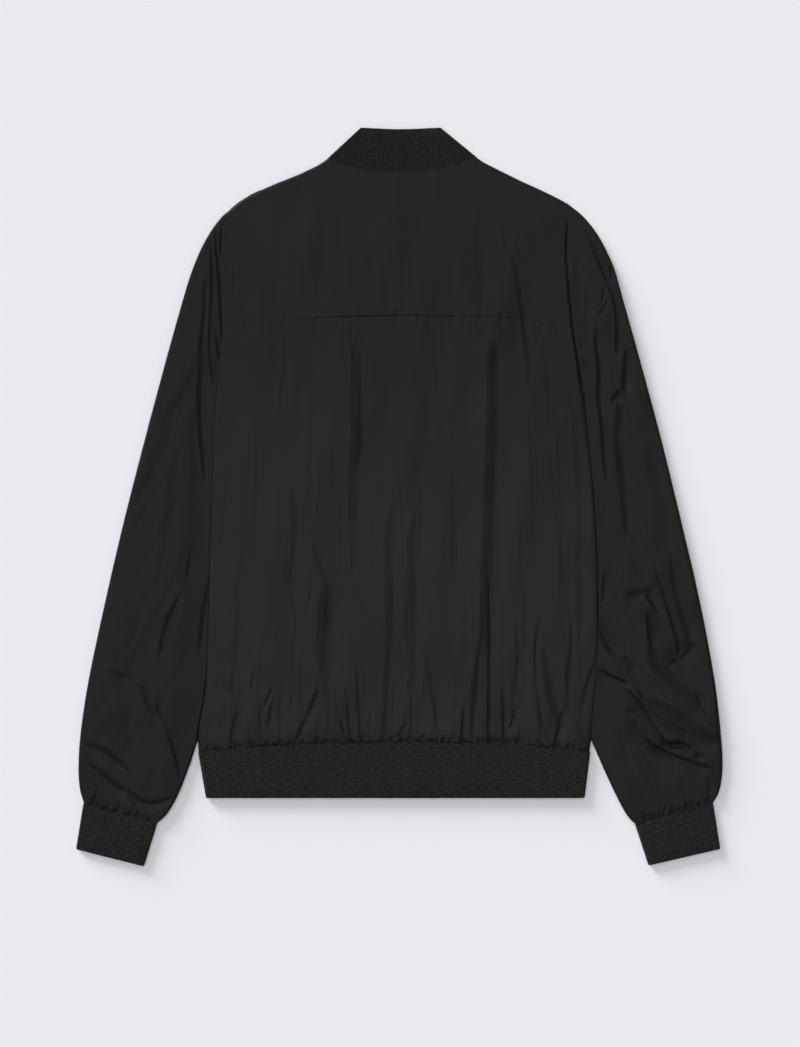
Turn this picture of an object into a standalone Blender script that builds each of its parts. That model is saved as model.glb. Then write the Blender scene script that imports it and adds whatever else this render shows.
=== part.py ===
"""Bomber jacket, zipped up and laid flat on its front, with its back upwards.

Metres, +Z up. The jacket rests on z = 0, +Y runs to the collar and -X is the wearer's left.
Tables are in millimetres: "out" is the distance from the centre back line towards a side,
"up" the distance from the frame's origin towards the collar.
"""
import math
from collections import namedtuple

import bmesh
import bpy

MM = 0.001

# Walls and gaps
CLOTH = 1.6             # two fabric layers of the shell, pressed together
RIB = 2.4               # doubled rib knit of collar, cuffs and waistband
SEAM = 0.3              # gap between two pieces at a seam
FOLD_EDGE = 1.2         # plan radius of a pressed fold

# Heights of the layers' middles above the surface
SLEEVE_UNDER = 2.9      # upper layer of a sleeve where the body lies on it
SLEEVE_FULL = 6.1       # upper layer of a sleeve at its fullest
BODY_OVER_SLEEVE = 4.2  # how far a front is lifted by the sleeve beneath it
BACK_LEVEL = 5.0        # back panels away from the sides
PRESSED = CLOTH + SEAM  # from a front's middle to the middle of the back lying on it
ROLL = 0.9              # extra height of the rolled side fold
RIB_BACK = 5.6          # upper layer of the waistband
COLLAR_BACK = 5.0       # upper layer of the collar
CUFF_BACK = 4.6         # upper layer of a cuff
NECK_RISE = 1.3         # how much higher the back stays where it nears the collar

# Where the heights change, each from no change to the full one
TUCK = (-45.0, -15.0)          # out from a sleeve's hidden fold, the lift of the body over it
LIFT_TOP = (150.0, 95.0)       # up, that lift below the armhole
LIFT_FOOT = (-272.0, -237.0)   # up, that lift above the waistband
SHOULDER_PINCH = 26.0          # distance in which the back comes down to a shoulder seam
WAIST_PINCH = 24.0             # and to the lowest part of a side
SIDE_ROLL = 14.0               # width of the rolled side fold
RIB_STEP = (-235.0, -262.0)    # up, the back's rise to the waistband
NECK_OUT = (125.0, 85.0)       # out, the back's rise to the collar
NECK_UP = (250.0, 330.0)       # up, the same
SLEEVE_TUCKS = (148.0, 96.0)   # up, a sleeve's step down under the body
SLEEVE_SWELLS = (10.0, 48.0)   # out from the body, a sleeve's rise to its full height
CUFF_DRAW = (0.94, 1.0)        # share of a sleeve's length, its change to the cuff's height
LIFT_LOW = (178.0, 226.0)      # up, the lift by the zip's slider, below it
LIFT_HIGH = (335.0, 288.0)     # up, the same above it
LIFT_OUT = (50.0, 15.0)        # out, the same beside it
ZIP_STEP = (-246.0, -261.0)    # up, the tape's rise from a front to the thicker waistband

# Zip
OPENING = 5.6           # from the centre line to the edge of a front
TAPE_INNER = 3.3
TAPE_OUTER = 14.0
TAPE = 0.6
CHAIN_WIDTH = 6.0
CHAIN = 2.0
ZIP_LIFT = 2.4          # how far the slider and its pull hold the fronts up
SLIDER_UP = 262.0       # place of the slider's middle, just below the neck seam
SLIDER_LENGTH = 12.0
SLIDER_WIDTH = 10.0
PLATE = 0.8
PIVOT_HEIGHT = 2.0      # axis of the pull above the surface
PULL_LENGTH = 30.0
PULL_WIDTH = 7.0
PULL = 1.0
PULL_BAR = 0.55         # radius
PULL_LEG = 0.4          # how far the pull's legs pass its axis
PULL_SLOT = (4.0, 5.6)  # width, and length from the axis
PLATE_GAP = 1.8         # between the slider's plates
ARCH = (2.4, 8.4)       # width and length of the slider's bridge
ARCH_FOOT = 0.3         # height of the bridge above the surface
ARCH_HOLE = 6.4         # length of the hole through the bridge
POST = 3.0              # width of the post that joins the plates
TAPE_STEPS = (2.0, 17.0)  # rows of the tape above the waist seam, where its height changes

NECK_FRONT_UP = 277.0
HEM_UP = -322.0
HEM_LEFT = -207.0
HEM_RIGHT = 199.0
COLLAR_HEIGHT = 46.0
PANEL_GAP = SEAM + 0.1  # between panels whose seam is curved
FOLD_CLEARANCE = 1.2    # extra gap where a fold meets the end of a seam
CROWDING = 1.6          # how much a sleeve's rings crowd together under the arm
FOLD_MIDDLE = 1.6       # highest middle of a pressed fold above the lower layer
FOLD_RADIUS = 1.8       # least plan radius in which a fold reaches its height

Side = namedtuple("Side", "sign shoulder armhole_yoke armhole_low edge outer inner cuff")
Fold = namedtuple("Fold", "top_x top_y low_x low_y width depth")

# Outlines of the two sides, each point (out, up)
LEFT = Side(
    sign=-1,
    shoulder=((80, 357), (107, 346), (139, 333), (166, 320), (190, 301)),
    armhole_yoke=((190, 301), (191, 258), (189.5, 182)),
    armhole_low=((189.5, 182), (190, 160), (192, 138), (196, 112), (199, 48)),
    edge=((199, 48), (203, -68), (206.5, -175), (210, -215), (213, -240), (215.5, -273)),
    outer=((190, 301), (200, 288), (211, 269), (222, 243), (232, 211), (250, 147), (273, 61), (295, -25),
           (315, -111), (333, -196), (342, -256), (344, -295), (342, -316), (338, -329)),
    inner=((199, 48), (179, 22), (164, -14), (160, -68), (173, -150), (197, -205), (213.5, -230),
           (216.5, -248), (221, -274), (226, -291), (233, -308), (240, -325), (259, -350)),
    cuff=((345.8, -378), (274, -396)),
)
RIGHT = Side(
    sign=1,
    shoulder=((83, 359), (116, 346), (143, 333), (170, 320), (181, 314)),
    armhole_yoke=((181, 314), (179, 258), (182, 222), (186, 180)),
    armhole_low=((186, 180), (192, 142), (198, 98), (203, 45)),
    edge=((203, 45), (208, -6), (212, -61), (213, -114), (212, -175), (210, -240), (205, -274)),
    outer=((181, 314), (197, 301), (212, 282), (223, 262), (231, 243), (240, 211), (258, 147), (281, 61),
           (302, -25), (322, -111), (338, -196), (345, -256), (346.6, -291), (343, -316), (336, -329)),
    inner=((203, 45), (185, 22), (168, -14), (163, -68), (172, -150), (194, -205), (211, -230),
           (212, -248), (215, -274), (220, -291), (228, -308), (236, -325), (253, -350)),
    cuff=((344, -378), (268, -396)),
)

# Seams that cross the back, each point (x, up)
YOKE_SEAM = ((-189.5, 182), (-154, 186), (-119, 190), (-73, 193), (1, 195), (63, 194), (108, 193),
             (134, 191), (162, 185), (186, 180))
WAIST_SEAM = ((-215.5, -273), (-192, -271), (-106, -265), (1, -263), (108, -264), (183, -271),
              (205, -274))
NECK_SEAM = ((-80, 357), (-42, 350), (3, 348), (44, 350), (83, 359))
COLLAR_EDGE = ((-41, 395.6), (1, 394), (44, 395.6))
NECK_FRONT = ((OPENING, NECK_FRONT_UP), (32, 285), (58, 313), (72, 335))
COLLAR_FRONT = ((OPENING, NECK_FRONT_UP + COLLAR_HEIGHT), (27, 342), (38, 368))

# Largest folds, from their upper to their lower end
BACK_FOLDS = (
    Fold(98, 165, 95, -250, 11, 1.3),
    Fold(-47, 180, -50, -75, 13, 0.7),
    Fold(-90, 10, -78, -230, 15, 0.9),
    Fold(-9, -20, -18, -245, 9, 1.1),
    Fold(14, -40, 12, -235, 11, 0.8),
    Fold(-112, -5, -110, -150, 9, 0.6),
    Fold(160, -120, 165, -250, 9, 0.9),
    Fold(134, 160, 138, 70, 11, 0.6),
)
SLEEVE_FOLDS = (
    Fold(-214, 220, -216, 60, 13, 0.8),
    Fold(-240, 20, -290, -200, 20, 0.9),
    Fold(216, 180, 226, 20, 13, 0.9),
    Fold(222, -130, 296, -240, 18, 1.1),
)

# Counts
BODY_ROWS = 9           # waist to underarm
ARM_ROWS = 4            # underarm to yoke
YOKE_ROWS = 6
BACK_COLUMNS = 40
YOKE_COLUMNS = 24
NECK_COLUMNS = (7, 17)  # columns of the yoke that meet the ends of the collar
FRONT_COLUMNS = 12
FRONT_ROWS = 18
NECK_ROW = 14           # row of a front that meets the foot of the neckline
SLEEVE_RINGS = 22
RING_UPPER = (0.07, 0.18, 0.32, 0.46, 0.6, 0.73, 0.86)
RING_LOWER = (0.18, 0.46, 0.73)
CUFF_RINGS = 2
BAND_FRONT = 6          # columns of the waistband on each front
BAND_BACK = 20          # and on the back
BAND_ROWS = 2
COLLAR_ROWS = 3

MATERIALS = {
    "shell": ((0.020, 0.020, 0.022), 0.62, 0.0),
    "rib": ((0.012, 0.012, 0.013), 0.92, 0.0),
    "tape": ((0.014, 0.014, 0.015), 0.85, 0.0),
    "metal": ((0.045, 0.045, 0.048), 0.35, 1.0),
}


# Numbers and curves

def mix(low, high, share):
    return low + (high - low) * share


def blend(start, end, value):
    """Smooth step: 0 at start, 1 at end, whichever of them is larger."""
    share = min(max((value - start) / (end - start), 0.0), 1.0)
    return share * share * (3.0 - 2.0 * share)


def larger(first, second, width=0.5):
    """The larger of two heights, with the crossing rounded."""
    share = min(max(0.5 + 0.5 * (first - second) / width, 0.0), 1.0)
    return mix(second, first, share) + width * share * (1.0 - share) * 0.5


def curve_through(points):
    """A smooth curve through the points, as a function of its share, from 0 to 1."""
    knots = [0.0]
    for start, end in zip(points, points[1:]):
        knots.append(knots[-1] + math.dist(start, end))
    slopes = []
    for index in range(len(points)):
        before = max(index - 1, 0)
        after = min(index + 1, len(points) - 1)
        span = knots[after] - knots[before]
        slopes.append([(points[after][axis] - points[before][axis]) / span for axis in (0, 1)])

    def at(share):
        place = min(max(share, 0.0), 1.0) * knots[-1]
        index = 0
        while index < len(points) - 2 and place > knots[index + 1]:
            index += 1
        span = knots[index + 1] - knots[index]
        step = (place - knots[index]) / span
        square, cube = step ** 2, step ** 3
        weights = (2 * cube - 3 * square + 1, (cube - 2 * square + step) * span,
                   3 * square - 2 * cube, (cube - square) * span)
        return tuple(
            weights[0] * points[index][axis] + weights[1] * slopes[index][axis]
            + weights[2] * points[index + 1][axis] + weights[3] * slopes[index + 1][axis]
            for axis in (0, 1)
        )

    return at


def joined(first, second, stop):
    """Two curves one after the other, the first of them up to the share stop."""
    def at(share):
        if share <= stop:
            return first(share / stop)
        return second((share - stop) / (1.0 - stop))
    return at


def reverse(curve):
    return lambda share: curve(1.0 - share)


def gathered(curve):
    """The same curve with its shares drawn together at the start."""
    return lambda share: curve(share ** CROWDING)


def chords(curve, count):
    """Straight lines between evenly spaced points of a curve."""
    def at(share):
        index = min(int(share * count), count - 1)
        start, end = curve(index / count), curve((index + 1) / count)
        return tuple(mix(start[axis], end[axis], share * count - index) for axis in (0, 1))
    return at


def placed(points, side):
    """Points (out, up) of one side as (x, y)."""
    return tuple((side.sign * out, up) for out, up in points)


def patch(low, high, start, end):
    """A sheet between four curves: low and high run across, start and end run up."""
    def at(across, along):
        corners = (low(0.0), low(1.0), high(0.0), high(1.0))
        return tuple(
            mix(low(across)[axis], high(across)[axis], along)
            + mix(start(along)[axis], end(along)[axis], across)
            - mix(mix(corners[0][axis], corners[1][axis], across),
                  mix(corners[2][axis], corners[3][axis], across), along)
            for axis in (0, 1)
        )
    return at


def distance_to(points, x, y):
    """Distance from (x, y) to the polyline through the points."""
    nearest = math.inf
    for (ax, ay), (bx, by) in zip(points, points[1:]):
        run, rise = bx - ax, by - ay
        share = ((x - ax) * run + (y - ay) * rise) / (run * run + rise * rise)
        share = min(max(share, 0.0), 1.0)
        nearest = min(nearest, math.hypot(x - ax - share * run, y - ay - share * rise))
    return nearest


def out_at(points, up):
    """How far out a line of points, listed from the top down, stands at a height."""
    if up >= points[0][1]:
        return points[0][0]
    for (high_out, high_up), (low_out, low_up) in zip(points, points[1:]):
        if up >= low_up:
            return mix(high_out, low_out, (high_up - up) / (high_up - low_up))
    return points[-1][0]


def side_of(x):
    return LEFT if x < 0 else RIGHT


# Heights of the layers

def fold_depth(folds, x, y):
    depth = 0.0
    for fold in folds:
        run, rise = fold.low_x - fold.top_x, fold.low_y - fold.top_y
        length = math.hypot(run, rise)
        share = ((x - fold.top_x) * run + (y - fold.top_y) * rise) / length ** 2
        off = ((x - fold.top_x) * rise - (y - fold.top_y) * run) / length
        ends = blend(-0.08, 0.2, share) * blend(1.08, 0.8, share)
        depth += fold.depth * ends * math.exp(-(off / fold.width) ** 2)
    return depth


def zip_lift(x, y):
    """Lift of everything near the slider and the pull that lies under the jacket."""
    along = blend(*LIFT_LOW, y) * blend(*LIFT_HIGH, y)
    return ZIP_LIFT * along * blend(*LIFT_OUT, abs(x))


def front_height(x, y):
    """Middle of a front panel: flat on the surface, and lifted where the sleeve is under it."""
    side = side_of(x)
    tucked = out_at(side.inner, y)
    over = blend(*TUCK, abs(x) - tucked)
    over *= blend(*LIFT_TOP, y) * blend(*LIFT_FOOT, y)
    return CLOTH / 2 + BODY_OVER_SLEEVE * over + zip_lift(x, y)


def back_height(x, y):
    """Middle of a back panel: it comes down to the front along shoulders and sides."""
    side = side_of(x)
    out = abs(x)
    to_shoulder = distance_to(side.shoulder, out, y)
    to_edge = distance_to(side.edge, out, y)
    low_edge = distance_to(side.edge[-2:], out, y)
    pinch_level = CLOTH / 2 + PRESSED + NECK_RISE * blend(*NECK_OUT, out) * blend(*NECK_UP, y)
    pinch = min(blend(0.0, SHOULDER_PINCH, to_shoulder), blend(0.0, WAIST_PINCH, low_edge))
    free = BACK_LEVEL - fold_depth(BACK_FOLDS, x, y) + 1.1 * zip_lift(x, y)
    free += (RIB_BACK - BACK_LEVEL) * blend(*RIB_STEP, y)
    pressed = front_height(x, y) + PRESSED + ROLL * blend(0.0, SIDE_ROLL, min(to_edge, to_shoulder))
    return larger(pressed, mix(pinch_level, free, pinch))


def sleeve_height(side, out, up, along):
    """Middle of a sleeve's upper layer; along runs from the armhole, 0, to the cuff, 1."""
    border = side.armhole_yoke + side.armhole_low[1:] + side.edge[1:]
    border_out = out_at(border, up)
    under = blend(*SLEEVE_TUCKS, up)
    level = mix(back_height(side.sign * border_out, max(up, SLEEVE_TUCKS[1])), SLEEVE_UNDER, under)
    full = SLEEVE_FULL - fold_depth(SLEEVE_FOLDS, side.sign * out, up)
    height = mix(level, full, blend(*SLEEVE_SWELLS, out - border_out))
    return mix(height, CUFF_BACK, blend(*CUFF_DRAW, along))


# Meshes

def collection_named(name):
    group = bpy.data.collections.new(name)
    bpy.context.scene.collection.children.link(group)
    return group


def material_named(name):
    material = bpy.data.materials.get(name)
    if material is None:
        colour, roughness, metallic = MATERIALS[name]
        material = bpy.data.materials.new(name)
        material.use_nodes = True
        shader = material.node_tree.nodes["Principled BSDF"]
        shader.inputs["Base Color"].default_value = (*colour, 1.0)
        shader.inputs["Roughness"].default_value = roughness
        shader.inputs["Metallic"].default_value = metallic
    return material


def finish_object(name, bm, material, group):
    mesh = bpy.data.meshes.new(name)
    bmesh.ops.recalc_face_normals(bm, faces=bm.faces)
    bm.to_mesh(mesh)
    bm.free()
    mesh.shade_smooth()
    body = bpy.data.objects.new(name, mesh)
    mesh.materials.append(material_named(material))
    group.objects.link(body)
    return body


def sheet(name, columns, rows, place, wall, material, group, closed=False):
    """A shell on a grid; place(column, row) gives the wall's middle. A closed one is a tube."""
    bm = bmesh.new()
    bmesh.ops.create_grid(bm, x_segments=columns, y_segments=rows, size=1.0)
    for vertex in bm.verts:
        column = round((vertex.co.x + 1.0) / 2.0 * columns)
        row = round((vertex.co.y + 1.0) / 2.0 * rows)
        vertex.co = [value * MM for value in place(column, row)]
    if closed:
        bmesh.ops.remove_doubles(bm, verts=bm.verts, dist=0.01 * MM)
    body = finish_object(name, bm, material, group)
    wall_modifier = body.modifiers.new("wall", "SOLIDIFY")
    wall_modifier.thickness = wall * MM
    wall_modifier.offset = 0.0
    wall_modifier.use_rim = True
    return body


def towards(start, end, distance):
    """The point at a distance from start on the way to end."""
    share = distance / math.dist(start, end)
    return tuple(mix(start[axis], end[axis], share) for axis in (0, 1))


def inset_from(plan, column, row, columns, rows, gap):
    """A grid's point (x, y), drawn in from the seams by half a gap."""
    here = plan(column / columns, row / rows)
    x, y = here
    for step, at_seam in (((0, 1), row == 0), ((0, -1), row == rows),
                          ((1, 0), column == 0), ((-1, 0), column == columns)):
        if at_seam:
            inside = plan((column + step[0]) / columns, (row + step[1]) / rows)
            moved = towards(here, inside, gap / 2)
            x += moved[0] - here[0]
            y += moved[1] - here[1]
    return x, y


def panel(name, plan, height, columns, rows, group):
    def place(column, row):
        x, y = inset_from(plan, column, row, columns, rows, PANEL_GAP)
        return x, y, height(x, y)
    return sheet(name, columns, rows, place, CLOTH, "shell", group)


# Body

def make_back(group):
    sides = []
    for side in (LEFT, RIGHT):
        edge = reverse(curve_through(placed(side.edge, side)))
        armhole = reverse(curve_through(placed(side.armhole_low, side)))
        sides.append(joined(edge, armhole, BODY_ROWS / (BODY_ROWS + ARM_ROWS)))
    lower = patch(curve_through(WAIST_SEAM), curve_through(YOKE_SEAM), *sides)
    panel("back_lower", lower, back_height, BACK_COLUMNS, BODY_ROWS + ARM_ROWS, group)

    neck_first, neck_last = (column / YOKE_COLUMNS for column in NECK_COLUMNS)
    left_shoulder = reverse(curve_through(placed(LEFT.shoulder, LEFT)))
    right_shoulder = curve_through(placed(RIGHT.shoulder, RIGHT))
    top = joined(joined(left_shoulder, curve_through(NECK_SEAM), neck_first / neck_last),
                 right_shoulder, neck_last)
    arms = [reverse(curve_through(placed(side.armhole_yoke, side))) for side in (LEFT, RIGHT)]
    yoke = patch(curve_through(YOKE_SEAM), top, *arms)
    panel("back_yoke", yoke, back_height, YOKE_COLUMNS, YOKE_ROWS, group)


def make_front(name, side, group):
    waist = [(abs(x), y) for x, y in WAIST_SEAM if x * side.sign > OPENING]
    waist = [(OPENING, WAIST_SEAM[3][1])] + sorted(waist)
    neck = NECK_FRONT + side.shoulder[:1]
    centre = ((OPENING, WAIST_SEAM[3][1]), (OPENING, NECK_FRONT_UP))
    middle = joined(curve_through(placed(centre, side)), curve_through(placed(neck, side)),
                    NECK_ROW / FRONT_ROWS)
    armhole = placed(side.armhole_yoke + side.armhole_low[1:], side)
    edge = joined(reverse(curve_through(placed(side.edge, side))), reverse(curve_through(armhole)),
                  BODY_ROWS / FRONT_ROWS)
    plan = patch(curve_through(placed(waist, side)), curve_through(placed(side.shoulder, side)),
                 middle, edge)
    panel(name, plan, front_height, FRONT_COLUMNS, FRONT_ROWS, group)


# Sleeves and bands

def ring_share(index, width):
    """Place of a ring's point: share of the width from the outer fold, and its layer."""
    fold = FOLD_EDGE / width
    upper = [0.0, fold, *RING_UPPER, 1.0 - fold, 1.0]
    lower = [1.0 - fold, *reversed(RING_LOWER), fold]
    around = [(share, 1) for share in upper] + [(share, -1) for share in lower]
    share, layer = around[index % len(around)]
    if share in (0.0, 1.0):
        layer = 0
    return share, layer


RING = len(RING_UPPER) + len(RING_LOWER) + 6


def fold_rise(distance, rise):
    """How much of its height a layer has reached at a distance from a round fold."""
    radius = max(2.0 * rise, FOLD_RADIUS)
    short = max(1.0 - distance / radius, 0.0)
    return math.sqrt(1.0 - short * short)


def tube_height(share, layer, width, low, high):
    """Height of a flattened tube's wall between its low and high layers."""
    middle = low + min(FOLD_MIDDLE, (high - low) / 2)
    if layer == 0:
        return middle
    if layer < 0:
        return low
    distance = min(share, 1.0 - share) * width
    return mix(middle, high, fold_rise(distance, high - middle))


def make_sleeve(name, side, group):
    outer = curve_through(side.outer)
    inner = gathered(curve_through(side.inner))
    cuff_line = curve_through((side.outer[-1], side.inner[-1]))
    armhole = curve_through(side.armhole_yoke + side.armhole_low[1:])
    plan = patch(armhole, cuff_line, outer, inner)

    def place(column, row):
        along = row / SLEEVE_RINGS
        width = math.dist(outer(along), inner(along))
        share, layer = ring_share(column, width)
        out, up = plan(share, along)
        if row in (0, SLEEVE_RINGS):
            gap = SEAM + (FOLD_CLEARANCE if share == 0.0 and row == 0 else FOLD_CLEARANCE / 2)
            step = 0.02 if row == 0 else -0.02
            out, up = towards((out, up), plan(share, along + step), gap)
        high = sleeve_height(side, out, up, along)
        return side.sign * out, up, tube_height(share, layer, width, CLOTH / 2, high)

    return sheet(name, RING, SLEEVE_RINGS, place, CLOTH, "shell", group, closed=True)


def make_cuff(name, side, group):
    seam = (side.outer[-1], side.inner[-1])
    end = side.cuff

    def place(column, row):
        along = row / CUFF_RINGS
        width = math.dist(*seam)
        share, layer = ring_share(column, width)
        start = towards(*seam, share * width)
        stop = towards(*end, share * math.dist(*end))
        out, up = towards(start, stop, mix(SEAM, math.dist(start, stop), along))
        return side.sign * out, up, tube_height(share, layer, width, RIB / 2, CUFF_BACK)

    return sheet(name, RING, CUFF_RINGS, place, RIB, "rib", group, closed=True)


def half_turn(low, high):
    """Points of a round fold from the lower layer to the upper: (drawn in, height)."""
    radius = (high - low) / 2
    turns = [math.radians(angle) for angle in (-90, -45, 0, 45, 90)]
    return [(radius * (1.0 - math.cos(turn)), mix(low, high, 0.5) + radius * math.sin(turn))
            for turn in turns]


def make_waistband(group):
    low, high = RIB / 2, RIB_BACK
    seam = curve_through(WAIST_SEAM)
    left_seam, right_seam = WAIST_SEAM[0][0], WAIST_SEAM[-1][0]
    width = right_seam - left_seam
    fold = half_turn(low, high)
    radius = fold[0][0]
    centre_left = (-OPENING - left_seam) / width
    centre_right = (OPENING - left_seam) / width
    columns = []
    for step in range(BAND_FRONT):
        columns.append((mix(centre_left, radius / width, step / BAND_FRONT), low))
    columns += [(drawn / width, height) for drawn, height in fold]
    for step in range(1, BAND_BACK):
        columns.append((mix(radius / width, 1.0 - radius / width, step / BAND_BACK), high))
    columns += [(1.0 - drawn / width, height) for drawn, height in reversed(fold)]
    for step in range(1, BAND_FRONT + 1):
        columns.append((mix(1.0 - radius / width, centre_right, step / BAND_FRONT), low))

    def place(column, row):
        share, height = columns[column]
        along = row / BAND_ROWS
        x = mix(mix(left_seam, HEM_LEFT, along), mix(right_seam, HEM_RIGHT, along), share)
        if height == low and share in (centre_left, centre_right):
            x = math.copysign(OPENING, x)
        y = mix(seam(share)[1] - SEAM, HEM_UP, along)
        return x, y, height

    return sheet("waistband", len(columns) - 1, BAND_ROWS, place, RIB, "rib", group)


def make_collar(group):
    low, high = RIB / 2, COLLAR_BACK
    fold = half_turn(low, high)
    radius = fold[0][0]
    steps = FRONT_ROWS - NECK_ROW
    back_steps = NECK_COLUMNS[1] - NECK_COLUMNS[0]
    back_seam = chords(curve_through(NECK_SEAM), back_steps)
    back_edge = curve_through(COLLAR_EDGE)
    columns = []
    for side in (LEFT, RIGHT):
        neck = chords(curve_through(placed(NECK_FRONT + side.shoulder[:1], side)), steps)
        top = placed(COLLAR_FRONT, side)
        top = curve_through(top + ((COLLAR_EDGE[0] if side is LEFT else COLLAR_EDGE[-1]),))
        neck_length = sum(math.dist(neck(step / steps), neck((step + 1) / steps)) for step in range(steps))
        half = [(neck(step / steps), top(step / steps), low, 0.0) for step in range(steps)]
        for drawn, height in fold:
            share = drawn / neck_length
            if height < mix(low, high, 0.5) - 0.01:
                half.append((neck(1.0 - share), top(1.0 - share), height, 1.0))
            else:
                turn = share if side is LEFT else 1.0 - share
                half.append((back_seam(turn), back_edge(turn), height, 1.0))
        columns.append(half)
    back = []
    for step in range(1, back_steps):
        share = step / back_steps
        back.append((back_seam(share), back_edge(share), high, 0.0))
    columns = columns[0] + back + columns[1][::-1]

    def place(column, row):
        seam_point, edge_point, height, at_fold = columns[column]
        first = SEAM + (FOLD_CLEARANCE + 0.4) * at_fold
        reach = mix(first, math.dist(seam_point, edge_point), row / COLLAR_ROWS)
        x, y = towards(seam_point, edge_point, reach)
        if height == low:
            height += zip_lift(x, y)
        return x, y, height

    return sheet("collar", len(columns) - 1, COLLAR_ROWS, place, RIB, "rib", group)


# Zip

def zip_height(y):
    """Middle of the zip tape, which lies on the inner side of fronts and waistband."""
    rib_step = (RIB - CLOTH) * blend(*ZIP_STEP, y)
    return CLOTH + SEAM + TAPE / 2 + rib_step + zip_lift(0.0, y)


def zip_strip(name, x_start, x_end, y_start, y_end, wall, material, group):
    waist_up = WAIST_SEAM[3][1]
    seats = [mix(waist_up, NECK_FRONT_UP, row / NECK_ROW) for row in range(1, NECK_ROW)]
    stops = [y_start] + [waist_up + step for step in TAPE_STEPS]
    stops += [seat for seat in seats if seat < y_end - 5.0] + [y_end]

    def place(column, row):
        return mix(x_start, x_end, column), stops[row], zip_height(stops[row])

    return sheet(name, 1, len(stops) - 1, place, wall, material, group)


def block(name, centre, size, group):
    bm = bmesh.new()
    bmesh.ops.create_cube(bm, size=1.0)
    for vertex in bm.verts:
        vertex.co = [(centre[axis] + vertex.co[axis] * size[axis]) * MM for axis in range(3)]
    body = finish_object(name, bm, "metal", group)
    body.data.shade_flat()
    return body


def combine(body, operation, operand):
    modifier = body.modifiers.new(operand.name, "BOOLEAN")
    modifier.operation = operation
    modifier.object = operand
    modifier.solver = "EXACT"
    operand.hide_render = True
    operand.display_type = "WIRE"


def make_slider(group, cutters):
    middle = zip_height(SLIDER_UP)
    lower = middle - PLATE_GAP / 2 - PLATE / 2
    upper = middle + PLATE_GAP / 2 + PLATE / 2
    body = block("zip_slider", (0, SLIDER_UP, lower), (SLIDER_WIDTH, SLIDER_LENGTH, PLATE), group)
    arch = block("arch", (0, SLIDER_UP, (ARCH_FOOT + lower) / 2), (*ARCH, lower - ARCH_FOOT), cutters)
    hole_low, hole_high = ARCH_FOOT + PLATE, lower - PLATE / 2
    hole = block("arch_hole", (0, SLIDER_UP, (hole_low + hole_high) / 2),
                 (2 * ARCH[0], ARCH_HOLE, hole_high - hole_low), cutters)
    post_up = SLIDER_UP + SLIDER_LENGTH / 2 - POST / 2 - 0.5
    post = block("post", (0, post_up, middle), (POST, POST, PLATE_GAP + PLATE), cutters)
    top = block("top_plate", (0, SLIDER_UP, upper), (SLIDER_WIDTH, SLIDER_LENGTH, PLATE), cutters)
    combine(body, "UNION", arch)
    combine(body, "DIFFERENCE", hole)
    combine(body, "UNION", post)
    combine(body, "UNION", top)


def make_pull(group, cutters):
    """The pull tab, with its origin on the bar that it swings about."""
    body = block("zip_pull", (0, (PULL_LEG - PULL_LENGTH) / 2, 0),
                 (PULL_WIDTH, PULL_LENGTH + PULL_LEG, PULL), group)
    opening = block("pull_slot", (0, 0, 0), (PULL_SLOT[0], 2 * PULL_SLOT[1], 4 * PULL), cutters)
    bm = bmesh.new()
    bmesh.ops.create_cone(bm, cap_ends=True, segments=16, radius1=PULL_BAR * MM, radius2=PULL_BAR * MM,
                          depth=(PULL_WIDTH - 1.0) * MM)
    for vertex in bm.verts:
        x, y, z = vertex.co
        vertex.co = (z, y, -x)
    bar = finish_object("pull_bar", bm, "metal", cutters)
    for piece in (body, opening, bar):
        piece.location = (0.0, SLIDER_UP * MM, PIVOT_HEIGHT * MM)
    combine(body, "DIFFERENCE", opening)
    combine(body, "UNION", bar)


def make_zip(group, cutters):
    low_end, high_end = HEM_UP + 1.0, NECK_FRONT_UP - 1.0
    for name, side in (("zip_tape_left", LEFT), ("zip_tape_right", RIGHT)):
        zip_strip(name, side.sign * TAPE_INNER, side.sign * TAPE_OUTER, low_end, high_end, TAPE,
                  "tape", group)
    chain_end = SLIDER_UP - SLIDER_LENGTH / 2 - SEAM
    zip_strip("zip_chain", -CHAIN_WIDTH / 2, CHAIN_WIDTH / 2, low_end, chain_end, CHAIN, "metal", group)
    make_slider(group, cutters)
    make_pull(group, cutters)


def main():
    for leftover in list(bpy.data.objects):
        bpy.data.objects.remove(leftover, do_unlink=True)
    jacket = collection_named("bomber_jacket")
    cutters = collection_named("cutters")
    make_back(jacket)
    make_front("front_left", LEFT, jacket)
    make_front("front_right", RIGHT, jacket)
    make_sleeve("sleeve_left", LEFT, jacket)
    make_sleeve("sleeve_right", RIGHT, jacket)
    make_cuff("cuff_left", LEFT, jacket)
    make_cuff("cuff_right", RIGHT, jacket)
    make_waistband(jacket)
    make_collar(jacket)
    make_zip(jacket, cutters)


main()
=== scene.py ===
"""Looks of a black zip-front bomber jacket, laid flat on its front with its back upwards.

Tables and shape functions are in millimetres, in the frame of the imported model: x across, y up to
the collar, z above the surface, and "out" for the distance from the centre back line to a side.
Settings in the sidebar are in metres. Each cloth piece is a thin shell on the form of its solid.
"""
import math
from collections import namedtuple

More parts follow.
